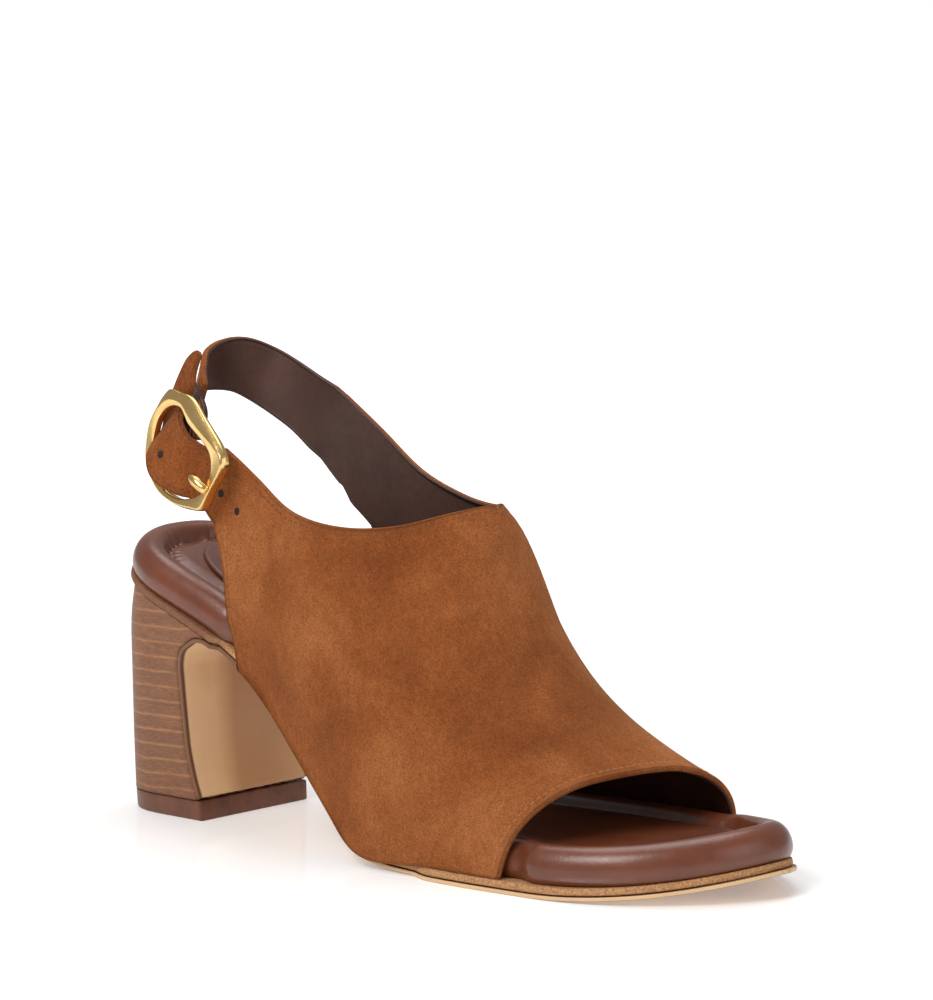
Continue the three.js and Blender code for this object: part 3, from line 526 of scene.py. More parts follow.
def suede_finish(name, dark, middle, light):
    """Brushed nap: big soft patches, short streaks and a fine speckle, with a soft sheen."""
    f = Finish(name, 0.93, Sheen_Weight=0.35, Sheen_Roughness=0.45, Sheen_Tint=srgb(206, 150, 104),
               Specular_IOR_Level=0.12)
    patches = f.ramp(f.noise(30, 3, (1, 1, 1), 0.55, 0.4), (0.3, dark), (0.5, middle), (0.7, light))
    speckle = f.ramp(f.noise(1900, 4, rough=0.75), (0.32, 0.55), (0.68, 1.35))
    streaks = f.ramp(f.noise(520, 3, (1, 1, 0.6), 0.65), (0.3, 0.86), (0.7, 1.12))
    colour = f.blend(1.0, f.blend(1.0, patches, speckle, "MULTIPLY"), streaks, "MULTIPLY")
    nap = f.bump(f.noise(1300, 4, rough=0.7), 0.00035, 0.9)
    return f.set(Base_Color=colour, Normal=f.bump(f.noise(170, 3), 0.0006, 0.5, Normal=nap))


def leather_finish(name, dark, light, roughness, coat=0.0):
    """Smooth leather: faint pores and folds, gloss that varies a little."""
    f = Finish(name, roughness, Coat_Weight=coat, Coat_Roughness=0.25)
    colour = f.ramp(f.noise(60, 4, rough=0.6), (0.3, dark), (0.7, light))
    pores = f.bump(f.cells(1100), 0.00005, 0.55)
    folds = f.bump(f.noise(330, 4, (1, 1, 1), 0.6, 0.4), 0.00008, 0.5, Normal=pores)
    gloss = f.maths("MULTIPLY_ADD", f.noise(420, 3), 0.22, roughness - 0.11)
    return f.set(Base_Color=colour, Normal=folds, Roughness=gloss)


LAYER = 0.0045


def stack_finish():
    """Stacked leather: nearly level layers, wavy light lines between them and short fibres along each."""
    f = Finish("stacked leather", 0.55)
    wave = f.maths("MULTIPLY", f.maths("SUBTRACT", f.noise(48, 2, (1, 1, 0.4)), 0.5), 0.0032)
    tilt = f.maths("MULTIPLY_ADD", f.part(0), -0.05, wave)
    level = f.maths("DIVIDE", f.maths("ADD", f.part(2), tilt), LAYER)
    saw = f.maths("FRACT", level)
    line = f.ramp(saw, (0.0, 0.9), (0.07, 0.5), (0.16, 0.0), (0.88, 0.0), (0.95, 0.4), (1.0, 0.9))
    fibres = f.noise(420, 4, (1, 1, 5.5), 0.7)
    body = f.ramp(fibres, (0.3, srgb(98, 58, 32)), (0.5, srgb(120, 75, 44)), (0.72, srgb(144, 95, 60)))
    layer = f.ramp(f.noise(120, 2, (0.3, 0.3, 1.8)), (0.3, 0.9), (0.7, 1.08))
    body = f.blend(1.0, body, layer, "MULTIPLY")
    strength = f.maths("MULTIPLY", line, f.ramp(f.noise(150, 3), (0.3, 0.25), (0.6, 1.0)))
    grooves = f.bump(f.maths("SUBTRACT", 1.0, line), 0.00012, 0.5)
    return f.set(Base_Color=f.blend(strength, body, srgb(166, 114, 70)),
                 Normal=f.bump(fibres, 0.0001, 0.5, Normal=grooves),
                 Roughness=f.maths("MULTIPLY_ADD", fibres, 0.25, 0.42))


WELT_TAN_FROM = 46.0
WELT_TAN_BLEND = 10.0


def welt_finish():
    """Raw leather edge: tan with dark and light flecks, the heel's brown round the back."""
    f = Finish("raw leather edge", 0.75)
    body = f.ramp(f.noise(1700, 4, rough=0.75), (0.3, srgb(112, 70, 38)), (0.5, srgb(172, 122, 78)),
                  (0.72, srgb(216, 172, 122)))
    heel = f.ramp(f.noise(420, 4, (1, 1, 5.5), 0.7), (0.3, srgb(104, 64, 42)), (0.7, srgb(136, 88, 58)))
    blend = WELT_TAN_BLEND * MM
    forward = f.maths("MULTIPLY_ADD", f.part(0), 1 / blend, -(WELT_TAN_FROM + ORIGIN[0]) * MM / blend)
    along = f.ramp(forward, (0.0, 0.0), (1.0, 1.0))
    return f.set(Base_Color=f.blend(along, heel, body), Normal=f.bump(f.noise(1500, 3), 0.0002, 0.6))


def plain_leather_finish(name, dark, light, roughness):
    """Sole leather: pale, almost smooth, with faint marks."""
    f = Finish(name, roughness)
    return f.set(Base_Color=f.ramp(f.noise(45, 4, rough=0.65), (0.3, dark), (0.72, light)),
                 Normal=f.bump(f.noise(900, 4), 0.00008, 0.5))


def flap_finish():
    """Sole leather: pale at the edge, with a thin dark line inside it; across the sheet, a painted highlight
    down the side that faces the light and painted shade in the middle. The share across is the piece's own
    attribute."""
    f = Finish("sole leather", 0.5)
    across = f.attribute("across")
    pale, dark, stack = srgb(216, 178, 134), srgb(84, 50, 30), srgb(120, 76, 46)
    # From 0.126 to 0.87 this ramp paints light and shade: a pale painted highlight on the side that faces the
    # light, painted shade darkening the middle
    tone_and_painted_light = f.ramp(across, (0.0, pale), (0.05, pale), (0.06, stack), (0.1, stack), (0.106, dark),
                  (0.116, dark), (0.126, srgb(222, 184, 140)), (0.3, srgb(212, 172, 126)),
                  (0.42, srgb(178, 132, 88)), (0.65, srgb(180, 134, 90)), (0.87, srgb(194, 150, 106)),
                  (0.89, dark))
    marks = f.ramp(f.noise(60, 4, rough=0.65), (0.3, 0.94), (0.72, 1.05))
    return f.set(Base_Color=f.blend(1.0, tone_and_painted_light, marks, "MULTIPLY"),
                 Normal=f.bump(f.noise(900, 4), 0.00008, 0.5))


def metal_finish():
    """Polished pale gold with a faint brushing and a few hairlines."""
    f = Finish("polished gold", 0.16, 1.0)
    return f.set(Base_Color=f.ramp(f.noise(90, 3), (0.3, srgb(222, 182, 112)), (0.7, srgb(236, 202, 138))),
                 Roughness=f.maths("MULTIPLY_ADD", f.noise(600, 3, (1, 1, 4)), 0.12, 0.16),
                 Normal=f.bump(f.noise(260, 2), 0.00005, 0.35))


def ribbed_finish():
    """Elastic: fine cords along the strap under a woven cover, dark in the grooves between the cords as
    painted shade and lighter on their crests.
    """
    f = Finish("ribbed elastic", 0.85)
    # the colour follows the cords' height: painted shade in the grooves, lighter on the crests
    return f.set(Base_Color=f.ramp(f.attribute("rib"), (0.2, srgb(44, 22, 12)), (0.8, srgb(112, 64, 38))),
                 Normal=f.bump(f.noise(2200, 2), 0.0001, 0.6))


def rubber_finish():
    """Heel tap: smooth brown rubber with a dull, slightly scuffed face."""
    f = Finish("brown rubber", 0.5)
    colour = f.ramp(f.noise(140, 4, rough=0.6), (0.3, srgb(88, 48, 28)), (0.7, srgb(116, 68, 42)))
    return f.set(Base_Color=colour, Normal=f.bump(f.noise(700, 3), 0.00006, 0.5),
                 Roughness=f.maths("MULTIPLY_ADD", f.noise(300, 3), 0.2, 0.38))


SUEDE = suede_finish("tan suede", srgb(118, 62, 28), srgb(136, 76, 37), srgb(156, 94, 52))
LINING = leather_finish("lining leather", srgb(58, 29, 15), srgb(76, 41, 23), 0.6)
INSOLE = leather_finish("insole leather", srgb(92, 44, 24), srgb(112, 58, 34), 0.34, coat=0.2)
STACK = stack_finish()
RAW_EDGE = welt_finish()
SOLE = flap_finish()
GOLD = metal_finish()
RIBBED = ribbed_finish()
RUBBER = rubber_finish()
THREAD = plain_leather_finish("sewing thread", srgb(78, 40, 18), srgb(108, 60, 30), 0.6)
TOE_THREAD = plain_leather_finish("toe thread", srgb(150, 94, 52), srgb(176, 118, 72), 0.6)
DARK_THREAD = plain_leather_finish("dark thread", srgb(40, 20, 11), srgb(60, 32, 19), 0.6)
# near-black hole colour: painted shade standing for the inside of each pin hole
PAINTED_HOLE_SHADE = plain_leather_finish("hole painted shade", srgb(24, 12, 7), srgb(40, 20, 12), 0.9)


# Sole, welt and footbed
SOLE_STATIONS = 150


def drawn_in(ring, inset):
    """The outline's flat places (s, y) drawn in by an inset."""
    s, y, _, ns, ny = ring
    return s + ns * inset, y + ny * inset


def welt_piece():
    """The outline drawn in round the heel, its edge carried up with a slightly rounded profile."""
    ring = outline_ring(SOLE_STATIONS)
    profile = [(0.35, CLEAR), (0.08, CLEAR + 0.25), (0, 1.0), (0, 1.6), (0.1, WELT - 0.2), (0.45, WELT)]
    rings = [bend(*drawn_in(ring, sole_inset(ring[0]) + inset), up - WELT) for inset, up in profile]
    add_piece("welt_edge", *loft_closed(rings), [RAW_EDGE], replaces=["welt"], slot="welt_leather")


HEEL_BACK = TAP_FRONT - TAP_DEPTH
HEEL_POWER = 2.6
HEEL_ROUND = 0.58
HEEL_STEPS, FRONT_STEPS = 30, 28


def heel_shares():
    """One ring of the heel: rounded back from a superellipse, straight sides, flat front."""
    angle = np.linspace(0, np.pi / 2, HEEL_STEPS + 1)
    depth = (1 - np.cos(angle) ** (2 / HEEL_POWER)) * HEEL_ROUND
    side = -np.sin(angle) ** (2 / HEEL_POWER)
    straight = np.linspace(HEEL_ROUND, 1, 9)[1:-1]
    front = np.linspace(-1, 1, FRONT_STEPS + 1)
    return (np.concatenate([depth, straight, np.ones(FRONT_STEPS + 1), straight[::-1], depth[:0:-1]]),
            np.concatenate([side, -np.ones(len(straight)), front, np.ones(len(straight)), -side[:0:-1]]))


def heel_point(depth, side, up):
    """Straight lines from the tap's outline to the seat's, the front following the breast curve."""
    depth, side, up = np.broadcast_arrays(depth, side, up)
    front = TAP_FRONT + BREAST_SPAN * smooth(BREAST, up)
    x = mix(mix(HEEL_BACK, SEAT_INSET + HEEL_TUCK, up), front, depth)
    lateral, medial = sole_sides(depth * TONGUE_END)
    tuck = seat_inset(depth * TONGUE_END) + HEEL_TUCK * (1 - depth)
    outline = np.maximum(np.abs(np.where(side < 0, lateral, medial)) - tuck, 0)
    spread = np.where(depth < 1, np.sign(side), side)
    foot = side * (TAP_WIDTH / 2 + TAP_FLARE)
    s = arc_at(np.maximum(x, 0))
    s = s + WELT * np.sin(np.interp(s, LINE_S, LINE_ANGLE))
    seat = bend(s, 0, -WELT)[..., 2]
    return np.stack([x, mix(foot, spread * outline, up), mix(TAP_HEIGHT + CLEAR, seat, up)], -1)


def heel_piece():
    """Heel rings over the height, close together where the breast turns forward."""
    depth, side = heel_shares()
    ups = np.concatenate([np.linspace(0, 0.7, 36), np.linspace(0.7, 1, 44)[1:]])
    rings = heel_point(depth[None], side[None], ups[:, None])
    add_piece("heel_stack", *loft_closed(rings), [STACK], replaces=["heel_block"], slot="stacked_heel")


def tap_piece():
    """The tap's outline carried up with small rounded edges."""
    depth, side = heel_shares()
    profile = [(0, 0.35), (0.03, 0.1), (0.08, 0), (0.92, 0), (0.97, 0.08), (1, 0.3)]
    rings = []
    for up, inset in profile:
        x = mix(HEEL_BACK + inset, TAP_FRONT - TAP_RAKE * up - inset, depth)
        y = side * (TAP_WIDTH / 2 + TAP_FLARE * up - inset)
        rings.append(np.stack([x, y, np.full_like(x, TAP_HEIGHT * up)], -1))
    add_piece("heel_tap_rubber", *loft_closed(rings), [RUBBER], replaces=["heel_tap"], slot="heel_rubber")


def ring_along(places):
    """Directions along a closed ring of places."""
    return unit(np.roll(places, -1, 0) - np.roll(places, 1, 0))


def rim(a, b, away, first, last, start, steps):
    """A rounded edge from the ring of places a to b, whose numbers are first and last: the rings of new
    places, numbered from start, and the strips of quads."""
    angles = np.pi * np.arange(1, steps) / steps
    rings = [(a + b) / 2 + (a - b) / 2 * np.cos(t) + away * np.sin(t) for t in angles]
    own = [start + k * len(a) + np.arange(len(a)) for k in range(len(rings))]
    numbers = [first, *own, last]
    strips = [np.stack([p, q, np.roll(q, -1), np.roll(p, -1)], -1) for p, q in zip(numbers, numbers[1:])]
    return rings, strips


def closed_sheet(outer, inner, round_edge=0.0):
    """A grid of outer and a grid of inner places joined round their border by a rounded edge."""
    rows, columns = outer.shape[:2]
    count = rows * columns
    face = grid_faces(rows, columns)
    number = np.arange(count).reshape(rows, columns)
    border = np.concatenate([number[0, :-1], number[:-1, -1], number[-1, :0:-1], number[:0:-1, 0]])
    flat_out, flat_in = outer.reshape(-1, 3), inner.reshape(-1, 3)
    a, b = flat_out[border], flat_in[border]
    away = unit(np.cross(ring_along(a), a - b)) * round_edge
    rings, strips = rim(a, b, away, border, border + count, 2 * count, 4 if round_edge else 1)
    return np.vstack([flat_out, flat_in, *rings]), np.vstack([face, face[:, ::-1] + count, *strips])


FLAP_EDGE = 0.1


def outsole_piece():
    """Thin leather under the shank and forefoot, running on down the heel's breast."""
    s = stations(190)
    s = s[s > TONGUE_END + 4][::-1]
    share = np.linspace(0, 1, 25)
    lateral, medial = (v[:, None] for v in sole_sides(s))
    inset = sole_inset(s)[:, None]
    under = lambda h: bend(s[:, None], mix(lateral + inset, medial - inset, share[None]), h)
    ups = np.concatenate([np.linspace(1, 0.72, 40), np.linspace(0.72, 0.01, 36)[1:]])[:, None]
    side = mix(-1, 1, share)[None]
    front = lambda step: heel_point(1.0, side, np.clip(ups + step, 0, 1))
    along = unit(front(0.004) - front(-0.004))
    off = np.stack([along[..., 2], np.zeros_like(along[..., 0]), -along[..., 0]], -1)
    breast = front(0)
    top = np.concatenate([under(-WELT), breast + off * CLEAR])
    foot = np.concatenate([under(-WELT - OUTSOLE), breast + off * (CLEAR + OUTSOLE)])
    points, faces = closed_sheet(top, foot, 0.2)
    # share across the sheet: the finish turns it into the pale edge, the dark line, and painted light and
    # shade across the sheet
    grid = np.tile(FLAP_EDGE + (1 - 2 * FLAP_EDGE) * share, len(top))
    on_flap = (points[:, 2] > TAP_HEIGHT) & (points[:, 0] < TONGUE_END + BREAST_SPAN)
    across = np.where(on_flap, FLAP_EDGE, 0.0)
    across[:2 * len(grid)] = np.concatenate([grid, grid])
    add_piece("outsole_leather", points, faces, [SOLE], replaces=["outsole"], slot="sole_leather",
              colours={"across": across})


UNDER_UPPER = UPPER_WALL + 1.5
UNDER_FROM = 0.243
UNDER_BLEND = 8.0


def footbed_inset(s, side):
    """The footbed draws in under the upper's wall between the back edge and the toe opening."""
    end = arc_at(np.where(side < 0, 0.745, 0.845) * PLAN)
    start = arc_at(UNDER_FROM * PLAN) - UNDER_BLEND
    draw = ease((s - start) / UNDER_BLEND) * (1 - ease((s - end) / UNDER_BLEND))
    return mix(RIM_INSET, UNDER_UPPER, draw)


STITCH_GROOVE = 10.6
GROOVE_HEIGHT = 7.0
GROOVE_SPREAD = 2.1
PUCKER_PITCH = 5.2
PUCKER_DEPTH = 0.75
PUCKER_HEEL, PUCKER_TOE = 26.0, 34.0
PAD_CROWN = 0.55
PAD_WAVES = 0.06


def footbed_piece():
    """Rolled rim, stitched groove and padded middle: the rim's profile carried round the outline,
    the groove pulled in at each stitch near the heel and the toe, and a ladder across the middle."""
    ring = outline_ring(260)
    s, y, side = ring[:3]
    base = footbed_inset(s, side)
    run = running(np.hypot(np.diff(s), np.diff(y)))
    ends = np.maximum(1 - s / PUCKER_HEEL, (s - (FOOTBED_ARC - PUCKER_TOE)) / PUCKER_TOE)
    pull = (0.5 + 0.5 * np.cos(2 * np.pi * run / PUCKER_PITCH)) ** 2 * mix(0.2, 1.0, ease(ends))
    rings = []
    for inset, height in through(FOOTBED, np.linspace(0, 1, 34)):
        near = np.exp(-((inset - STITCH_GROOVE) / GROOVE_SPREAD) ** 2)
        rings.append(bend(*drawn_in(ring, base + inset), height - PUCKER_DEPTH * near * pull))
    rings = np.array(rings)
    size = len(s)
    half = size // 2
    inner_s, inner_y = drawn_in(ring, base + FOOTBED[-1, 0])
    left = np.arange(1, half)
    right = size - left
    share = np.linspace(0, 1, 33)[1:-1]
    mid_s = mix(inner_s[left, None], inner_s[right, None], share[None])
    mid_y = mix(inner_y[left, None], inner_y[right, None], share[None])
    crown = PAD_CROWN * np.sin(np.pi * share)[None] ** 0.7
    middle = bend(mid_s, mid_y, PAD_HEIGHT + crown + PAD_WAVES * waves(mid_s, mid_y, 5, 17))
    points = [rings.reshape(-1, 3), middle.reshape(-1, 3)]
    top = (len(rings) - 1) * size
    own = len(rings) * size + np.arange(mid_s.size).reshape(mid_s.shape)
    number = np.concatenate([(top + left)[:, None], own, (top + right)[:, None]], 1)
    ladder = np.stack([number[:-1, :-1], number[:-1, 1:], number[1:, 1:], number[1:, :-1]], -1)
    faces = grid_faces(len(rings), size, 0, True).tolist() + ladder[..., ::-1].reshape(-1, 4).tolist()
    faces.append([top, *number[0].tolist()][::-1])
    faces.append([top + half, *number[-1].tolist()[::-1]][::-1])
    faces += end_ladder(0, size, False)
    piece = add_piece("footbed_pad", np.vstack(points), faces, [INSOLE], replaces=["footbed"],
                      slot="footbed_leather")
    path = np.concatenate([np.arange(size), [0]])
    places = bend(*(v[path] for v in drawn_in(ring, base + STITCH_GROOVE)), GROOVE_HEIGHT)
    stitches("footbed_stitching", [(places, unit(places * 0 + [0.0, 0.0, 1.0]))], DARK_THREAD, 3.4, 1.8, 0.3,
             slot="footbed_leather")


def sock_piece():
    """Oval pad on the heel with a rolled edge and a crowned top."""
    angle = np.linspace(0, 2 * np.pi, 121)[:-1]
    profile = [(0, 0.3), (-0.15, 0.8), (0.1, 1.25), (0.8, 1.5), (2.0, 1.55), (3.2, 1.35), (4.2, 1.4)]
    rings = []
    for inset, up in profile + [(6 + 1.2 * k, 1.45 + 0.045 * k) for k in range(7)]:
        s = SOCK_START + SOCK_LENGTH / 2 - (SOCK_LENGTH / 2 - inset) * np.cos(angle)
        rings.append(bend(s, -(SOCK_WIDTH / 2 - inset) * np.sin(angle), PAD_HEIGHT + up))
    piece = add_piece("heel_sock_pad", *loft_closed(rings), [INSOLE], replaces=["heel_sock"],
                      slot="footbed_leather")


# The ring's own directions
RING_RIGHT = np.array([np.cos(np.radians(RING_TURN)), -np.sin(np.radians(RING_TURN)), 0])
RING_UP = np.array([0, np.sin(np.radians(RING_LEAN)), np.cos(np.radians(RING_LEAN))])
RING_OUT = unit(np.cross(RING_RIGHT, RING_UP))


def ring_place(right, up, out):
    """A place in the ring's own plane, in mm from its centre."""
    return RING_CENTRE + right[..., None] * RING_RIGHT + up[..., None] * RING_UP + out[..., None] * RING_OUT


def ring_share(right, up, out):
    """The same in shares of RING_HALF_SIZE."""
    return ring_place(right * RING_HALF_SIZE, up * RING_HALF_SIZE, out * RING_HALF_SIZE)


# Upper
def upper_foot(x):
    """Height of the upper's lower edge: on the welt, and down over its side along the shank."""
    s = arc_at(x)
    return bend(s, 0, mix(UPPER_LIFT, -SHANK_DROP, shank_share(s)))[..., 2]


def section(x):
    """The last's section at x: share of the plan length, height of its foot and crest, and power."""
    share = x / PLAN
    return share, upper_foot(x), smooth(CREST, share, 1) * THROAT_HEIGHT, smooth(CREST, share, 2)


FLARE = 9.5
FLARE_RISE = 35.0


def last_point(x, turn):
    """Superellipse section across the last at x, turned from the lateral sole edge over the crest to
    the medial one; the lateral quarter stands out towards the back."""
    share, foot, crest, power = section(x)
    lateral, medial = sole_sides(arc_at(x))
    angle = np.pi * turn
    out = np.abs(np.cos(angle)) ** (2 / power)
    up = np.abs(np.sin(angle)) ** (2 / power)
    edge = np.where(turn < 0.5, lateral + CLEAR, medial - CLEAR)
    z = mix(foot, crest, up)
    flare = FLARE * np.maximum(1 - share / 0.5, 0) * ease((z - foot) / FLARE_RISE) * (turn < 0.5)
    return np.stack([x, mix(smooth(CREST, share, 3) * BALL_WIDTH, edge, out) - flare, z], -1)


def turn_at(x, z, side):
    """Turn at which the section at x reaches the height z."""
    _, foot, crest, power = section(x)
    level = np.clip((z - foot) / (crest - foot), 0, 1)
    turn = np.arcsin(level ** (power / 2)) / np.pi
    return turn if side == "lateral" else 1 - turn


FINE = 6
UPPER_COLUMNS = 96


def upper_grid():
    """Rows from the back edge to the toe opening, run by run round the shoe."""
    xs, turns, marks = [], [], []
    for number, (side, rows, points) in enumerate(BACK_RUNS):
        points = np.array([(a * PLAN, h * THROAT_HEIGHT) for a, h in points])
        places = through(points, even_shares(points, rows * FINE))
        turn = turn_at(places[:, 0], places[:, 1], side)
        if number == 0:
            turn[0] = 0
        if number == len(BACK_RUNS) - 1:
            turn[-1] = 1
        skip = 1 if number else 0
        first = sum(map(len, xs)) - skip
        marks.append((first, first + rows * FINE))
        xs.append(places[skip:, 0])
        turns.append(turn[skip:])
    x, turn = np.concatenate(xs), np.concatenate(turns)
    throat, last = marks[2][1], len(x) - 1
    j = np.arange(len(x))
    even = np.where(j <= throat, 0.5 * j / throat, 0.5 + 0.5 * (j - throat) / (last - throat))
    front_turn = mix(turn, even, 0.5)
    front_x = smooth(OPENING, front_turn) * PLAN
    t = np.linspace(0, 1, UPPER_COLUMNS + 1)[None]
    grid_x = mix(x[:, None], front_x[:, None], t)
    grid_turn = mix(turn[:, None], front_turn[:, None], ease(t))
    return last_point(grid_x, grid_turn), marks


ANKLE_AXIS = np.array([1.6 * ANKLE_HALF, 0, 0])


def strap_grid(rows, steps, root, blend):
    """Straight sections across a strap's centre line; near the root they ease into the root's own shape."""
    places = np.vstack([(root[:1] + root[-1:]) / 2, rows[:, :3] * [ANKLE_HALF, ANKLE_HALF, THROAT_HEIGHT]])
    widths = np.concatenate([[np.linalg.norm(root[0] - root[-1])], rows[:, 3] * ANKLE_HALF])
    leans = np.radians(np.concatenate([[0], rows[:, 4]]))
    t = even_shares(places, steps)
    centre = through(places, t)
    along = unit(through(places, np.minimum(t + 1e-3, 1)) - through(places, np.maximum(t - 1e-3, 0)))
    out = unit((centre - ANKLE_AXIS) * [1, 1, 0])
    out = unit(out - along * (out * along).sum(-1, keepdims=True))
    table = np.stack([np.linspace(0, 1, len(widths)), widths, leans], -1)
    lean = smooth(table, t, 2)[:, None]
    up = unit(np.cross(out, along)) * np.cos(lean) + out * np.sin(lean)
    share = np.linspace(0.5, -0.5, len(root))
    grid = centre[:, None] + up[:, None] * (smooth(table, t)[:, None] * share[None])[..., None]
    fade = (1 - ease(np.arange(steps + 1) / blend))[:, None, None]
    return grid + (root - grid[0])[None] * fade


def ruled_grid(rows, steps, root):
    """A strap ruled between two edge curves in the ring's plane, from its root's first and last place."""
    first = np.vstack([root[:1], ring_share(rows[:, 0], rows[:, 1], rows[:, 2])])
    second = np.vstack([root[-1:], ring_share(rows[:, 3], rows[:, 4], rows[:, 5])])
    t = even_shares((first + second) / 2, steps)
    share = np.linspace(0, 1, len(root))[None, :, None]
    grid = mix(through(first, t)[:, None], through(second, t)[:, None], share)
    grid[0] = root
    return grid


def join_sheets(grids):
    """Grids joined where their places meet. Returns points, quads and each grid's point numbers."""
    flat = np.vstack([g.reshape(-1, 3) for g in grids])
    key = np.round(flat / 0.01).astype(np.int64)
    _, first, number = np.unique(key, axis=0, return_index=True, return_inverse=True)
    number = number.ravel()
    faces, numbers, start = [], [], 0
    for g in grids:
        rows, columns = g.shape[:2]
        own = number[start:start + rows * columns].reshape(rows, columns)
        numbers.append(own)
        faces.append(number[grid_faces(rows, columns, start)])
        start += rows * columns
    faces = np.vstack(faces)
    whole = np.array([len(set(f)) == 4 for f in faces.tolist()])
    return flat[first], faces[whole], numbers


def sheet_border(faces):
    """Directed border edges of a quad mesh, in order round each loop."""
    edges = np.concatenate([faces[:, [k, (k + 1) % 4]] for k in range(4)])
    have = {tuple(e) for e in edges.tolist()}
    follow = {a: b for a, b in have if (b, a) not in have}
    loops = []
    while follow:
        start = next(iter(follow))
        loop = [start]
        while follow.get(loop[-1]) is not None:
            after = follow.pop(loop[-1])
            if after == start:
                break
            loop.append(after)
        loops.append(np.array(loop))
    return loops


def upper_sheets():
    """The body, the tab and the sling as one sheet, with the body's run marks and the sling's grid."""
    body, marks = upper_grid()
    tab_root = body[marks[TAB_RUN][0]:marks[TAB_RUN][1] + 1, 0]
    sling_root = body[marks[SLING_RUN][0]:marks[SLING_RUN][1] + 1, 0]
    tab = ruled_grid(TAB, 170, tab_root)
    sling = strap_grid(SLING, 190, sling_root, 16)
    points, faces, numbers = join_sheets([body, tab, sling])
    return points, faces, numbers, marks, sling


SUEDE_WAVES = 0.32
SUEDE_EDGE = 0.55
RIM_STEPS = 6
LINING_FROM = 4


def upper_piece():
    """Outer suede and inner lining offset along the sheet's normals, with a folded, rounded edge."""
    points, faces, numbers, marks, sling = upper_sheets()
    normals = normals_of(points, faces)
    body = numbers[0]
    t = np.linspace(0, 1, body.shape[1])[None]
    rows = np.linspace(0, 1, body.shape[0])[:, None]
    calm = ease(t / 0.12) * ease((1 - t) / 0.06) * ease(rows / 0.06) * ease((1 - rows) / 0.06)
    here = points[body]
    swell = SUEDE_WAVES * waves(here[..., 0], here[..., 2] + here[..., 1], 11, 46) * calm
    outer = points.copy()
    outer[body.ravel()] += normals[body.ravel()] * swell.reshape(-1, 1)
    count = len(points)
    inner = points - normals * UPPER_WALL
    all_points, all_faces = [outer, inner], [faces, faces[:, ::-1] + count]
    lined = [np.zeros(len(faces)), np.ones(len(faces))]
    start = 2 * count
    for loop in sheet_border(faces):
        a, b = outer[loop], inner[loop]
        away = np.cross(ring_along(a), unit(a - b)) * SUEDE_EDGE
        rings, strips = rim(a, b, away, loop, loop + count, start, RIM_STEPS)
        all_points += rings
        all_faces += [strip[:, ::-1] for strip in strips]
        lined += [np.full(len(loop), k >= LINING_FROM) for k in range(RIM_STEPS)]
        start += len(rings) * len(loop)
    add_piece("upper_suede", np.vstack(all_points), np.vstack(all_faces), [SUEDE, LINING],
              face_material=np.concatenate(lined), replaces=["upper"], slot="suede")
    return (points, normals, numbers, marks), sling


STITCH_SINK = 0.06
# share of the length and of the radius, along one stitch
STITCH_PROFILE = np.array([(-0.5, 0.25), (-0.38, 0.85), (0, 1.0), (0.38, 0.85), (0.5, 0.25)])
STITCH_SIDES = 6


def stitches(name, paths, material, length, gap, radius, slot="suede"):
    """Short rounded threads laid end to end along paths of (places, normals)."""
    ring = np.linspace(0, 2 * np.pi, STITCH_SIDES + 1)[:-1, None]
    shape = (STITCH_PROFILE * [length, radius])[..., None, None]
    size = len(STITCH_PROFILE) * STITCH_SIDES
    own = grid_faces(len(STITCH_PROFILE), STITCH_SIDES, 0, True)
    ends = [list(range(STITCH_SIDES))[::-1], list(range(size - STITCH_SIDES, size))]
    points, faces, start = [], [], 0
    for places, normals in paths:
        run = run_length(places)
        at = np.arange(gap + length / 2, run[-1] - length / 2, length + gap)
        sample = lambda values, where: np.stack([np.interp(where, run, values[:, k]) for k in range(3)], -1)
        centre, normal = sample(places, at), unit(sample(normals, at))
        along = unit(sample(places, at + 0.3) - sample(places, at - 0.3))
        across = unit(np.cross(normal, along))
        normal = np.cross(along, across)
        centre = centre - normal * STITCH_SINK
        centre, along, across, normal = (v[:, None, None] for v in (centre, along, across, normal))
        around = across * np.cos(ring) + normal * np.sin(ring)
        points.append((centre + along * shape[:, 0] + around * shape[:, 1]).reshape(-1, 3))
        for base in range(start, start + len(at) * size, size):
            faces += (own + base).tolist()
            faces += [[base + k for k in end] for end in ends]
        start += len(at) * size
    add_piece(name, np.vstack(points), faces, [material], slot=slot)


EDGE_SEARCH = 40
LONG_EDGE = 260


def pick_between(points, normals, own, column):
    """Places and normals at a broken column number in each row of a grid of point numbers."""
    low = np.minimum(column.astype(int), own.shape[1] - 2)
    rows = np.arange(len(own))
    pick = lambda values: mix(values[own[rows, low]], values[own[rows, low + 1]], (column - low)[:, None])
    return pick(points), unit(pick(normals))


def inside_edge(points, normals, numbers, row_range, inset, front=False):
    """Path on the sheet at a set distance inside its back or front edge."""
    own = numbers[row_range[0]:row_range[1] + 1]
    own = own[:, ::-1] if front else own
    here = points[own]
    gap = run_length(here, 1)[:, :EDGE_SEARCH]
    if len(own) < LONG_EDGE:
        gap = np.linalg.norm(here[:, :EDGE_SEARCH, None] - here[None, None, :, 0], axis=-1).min(-1)
    column = np.array([np.interp(inset, np.maximum.accumulate(g), np.arange(len(g))) for g in gap])
    return pick_between(points, normals, own, column)


def strap_edges(points, normals, numbers, inset, skip=(2, 2)):
    """Paths along both long edges of a strap's grid, at a set distance inside."""
    own = numbers[skip[0]:numbers.shape[0] - skip[1]]
    here = points[own]
    width = np.linalg.norm(here[:, 0] - here[:, -1], axis=1)
    share = np.clip(inset / width, 0, 0.5)
    return [pick_between(points, normals, own, place * (own.shape[1] - 1)) for place in (share, 1 - share)]


EDGE_STITCH = 1.8


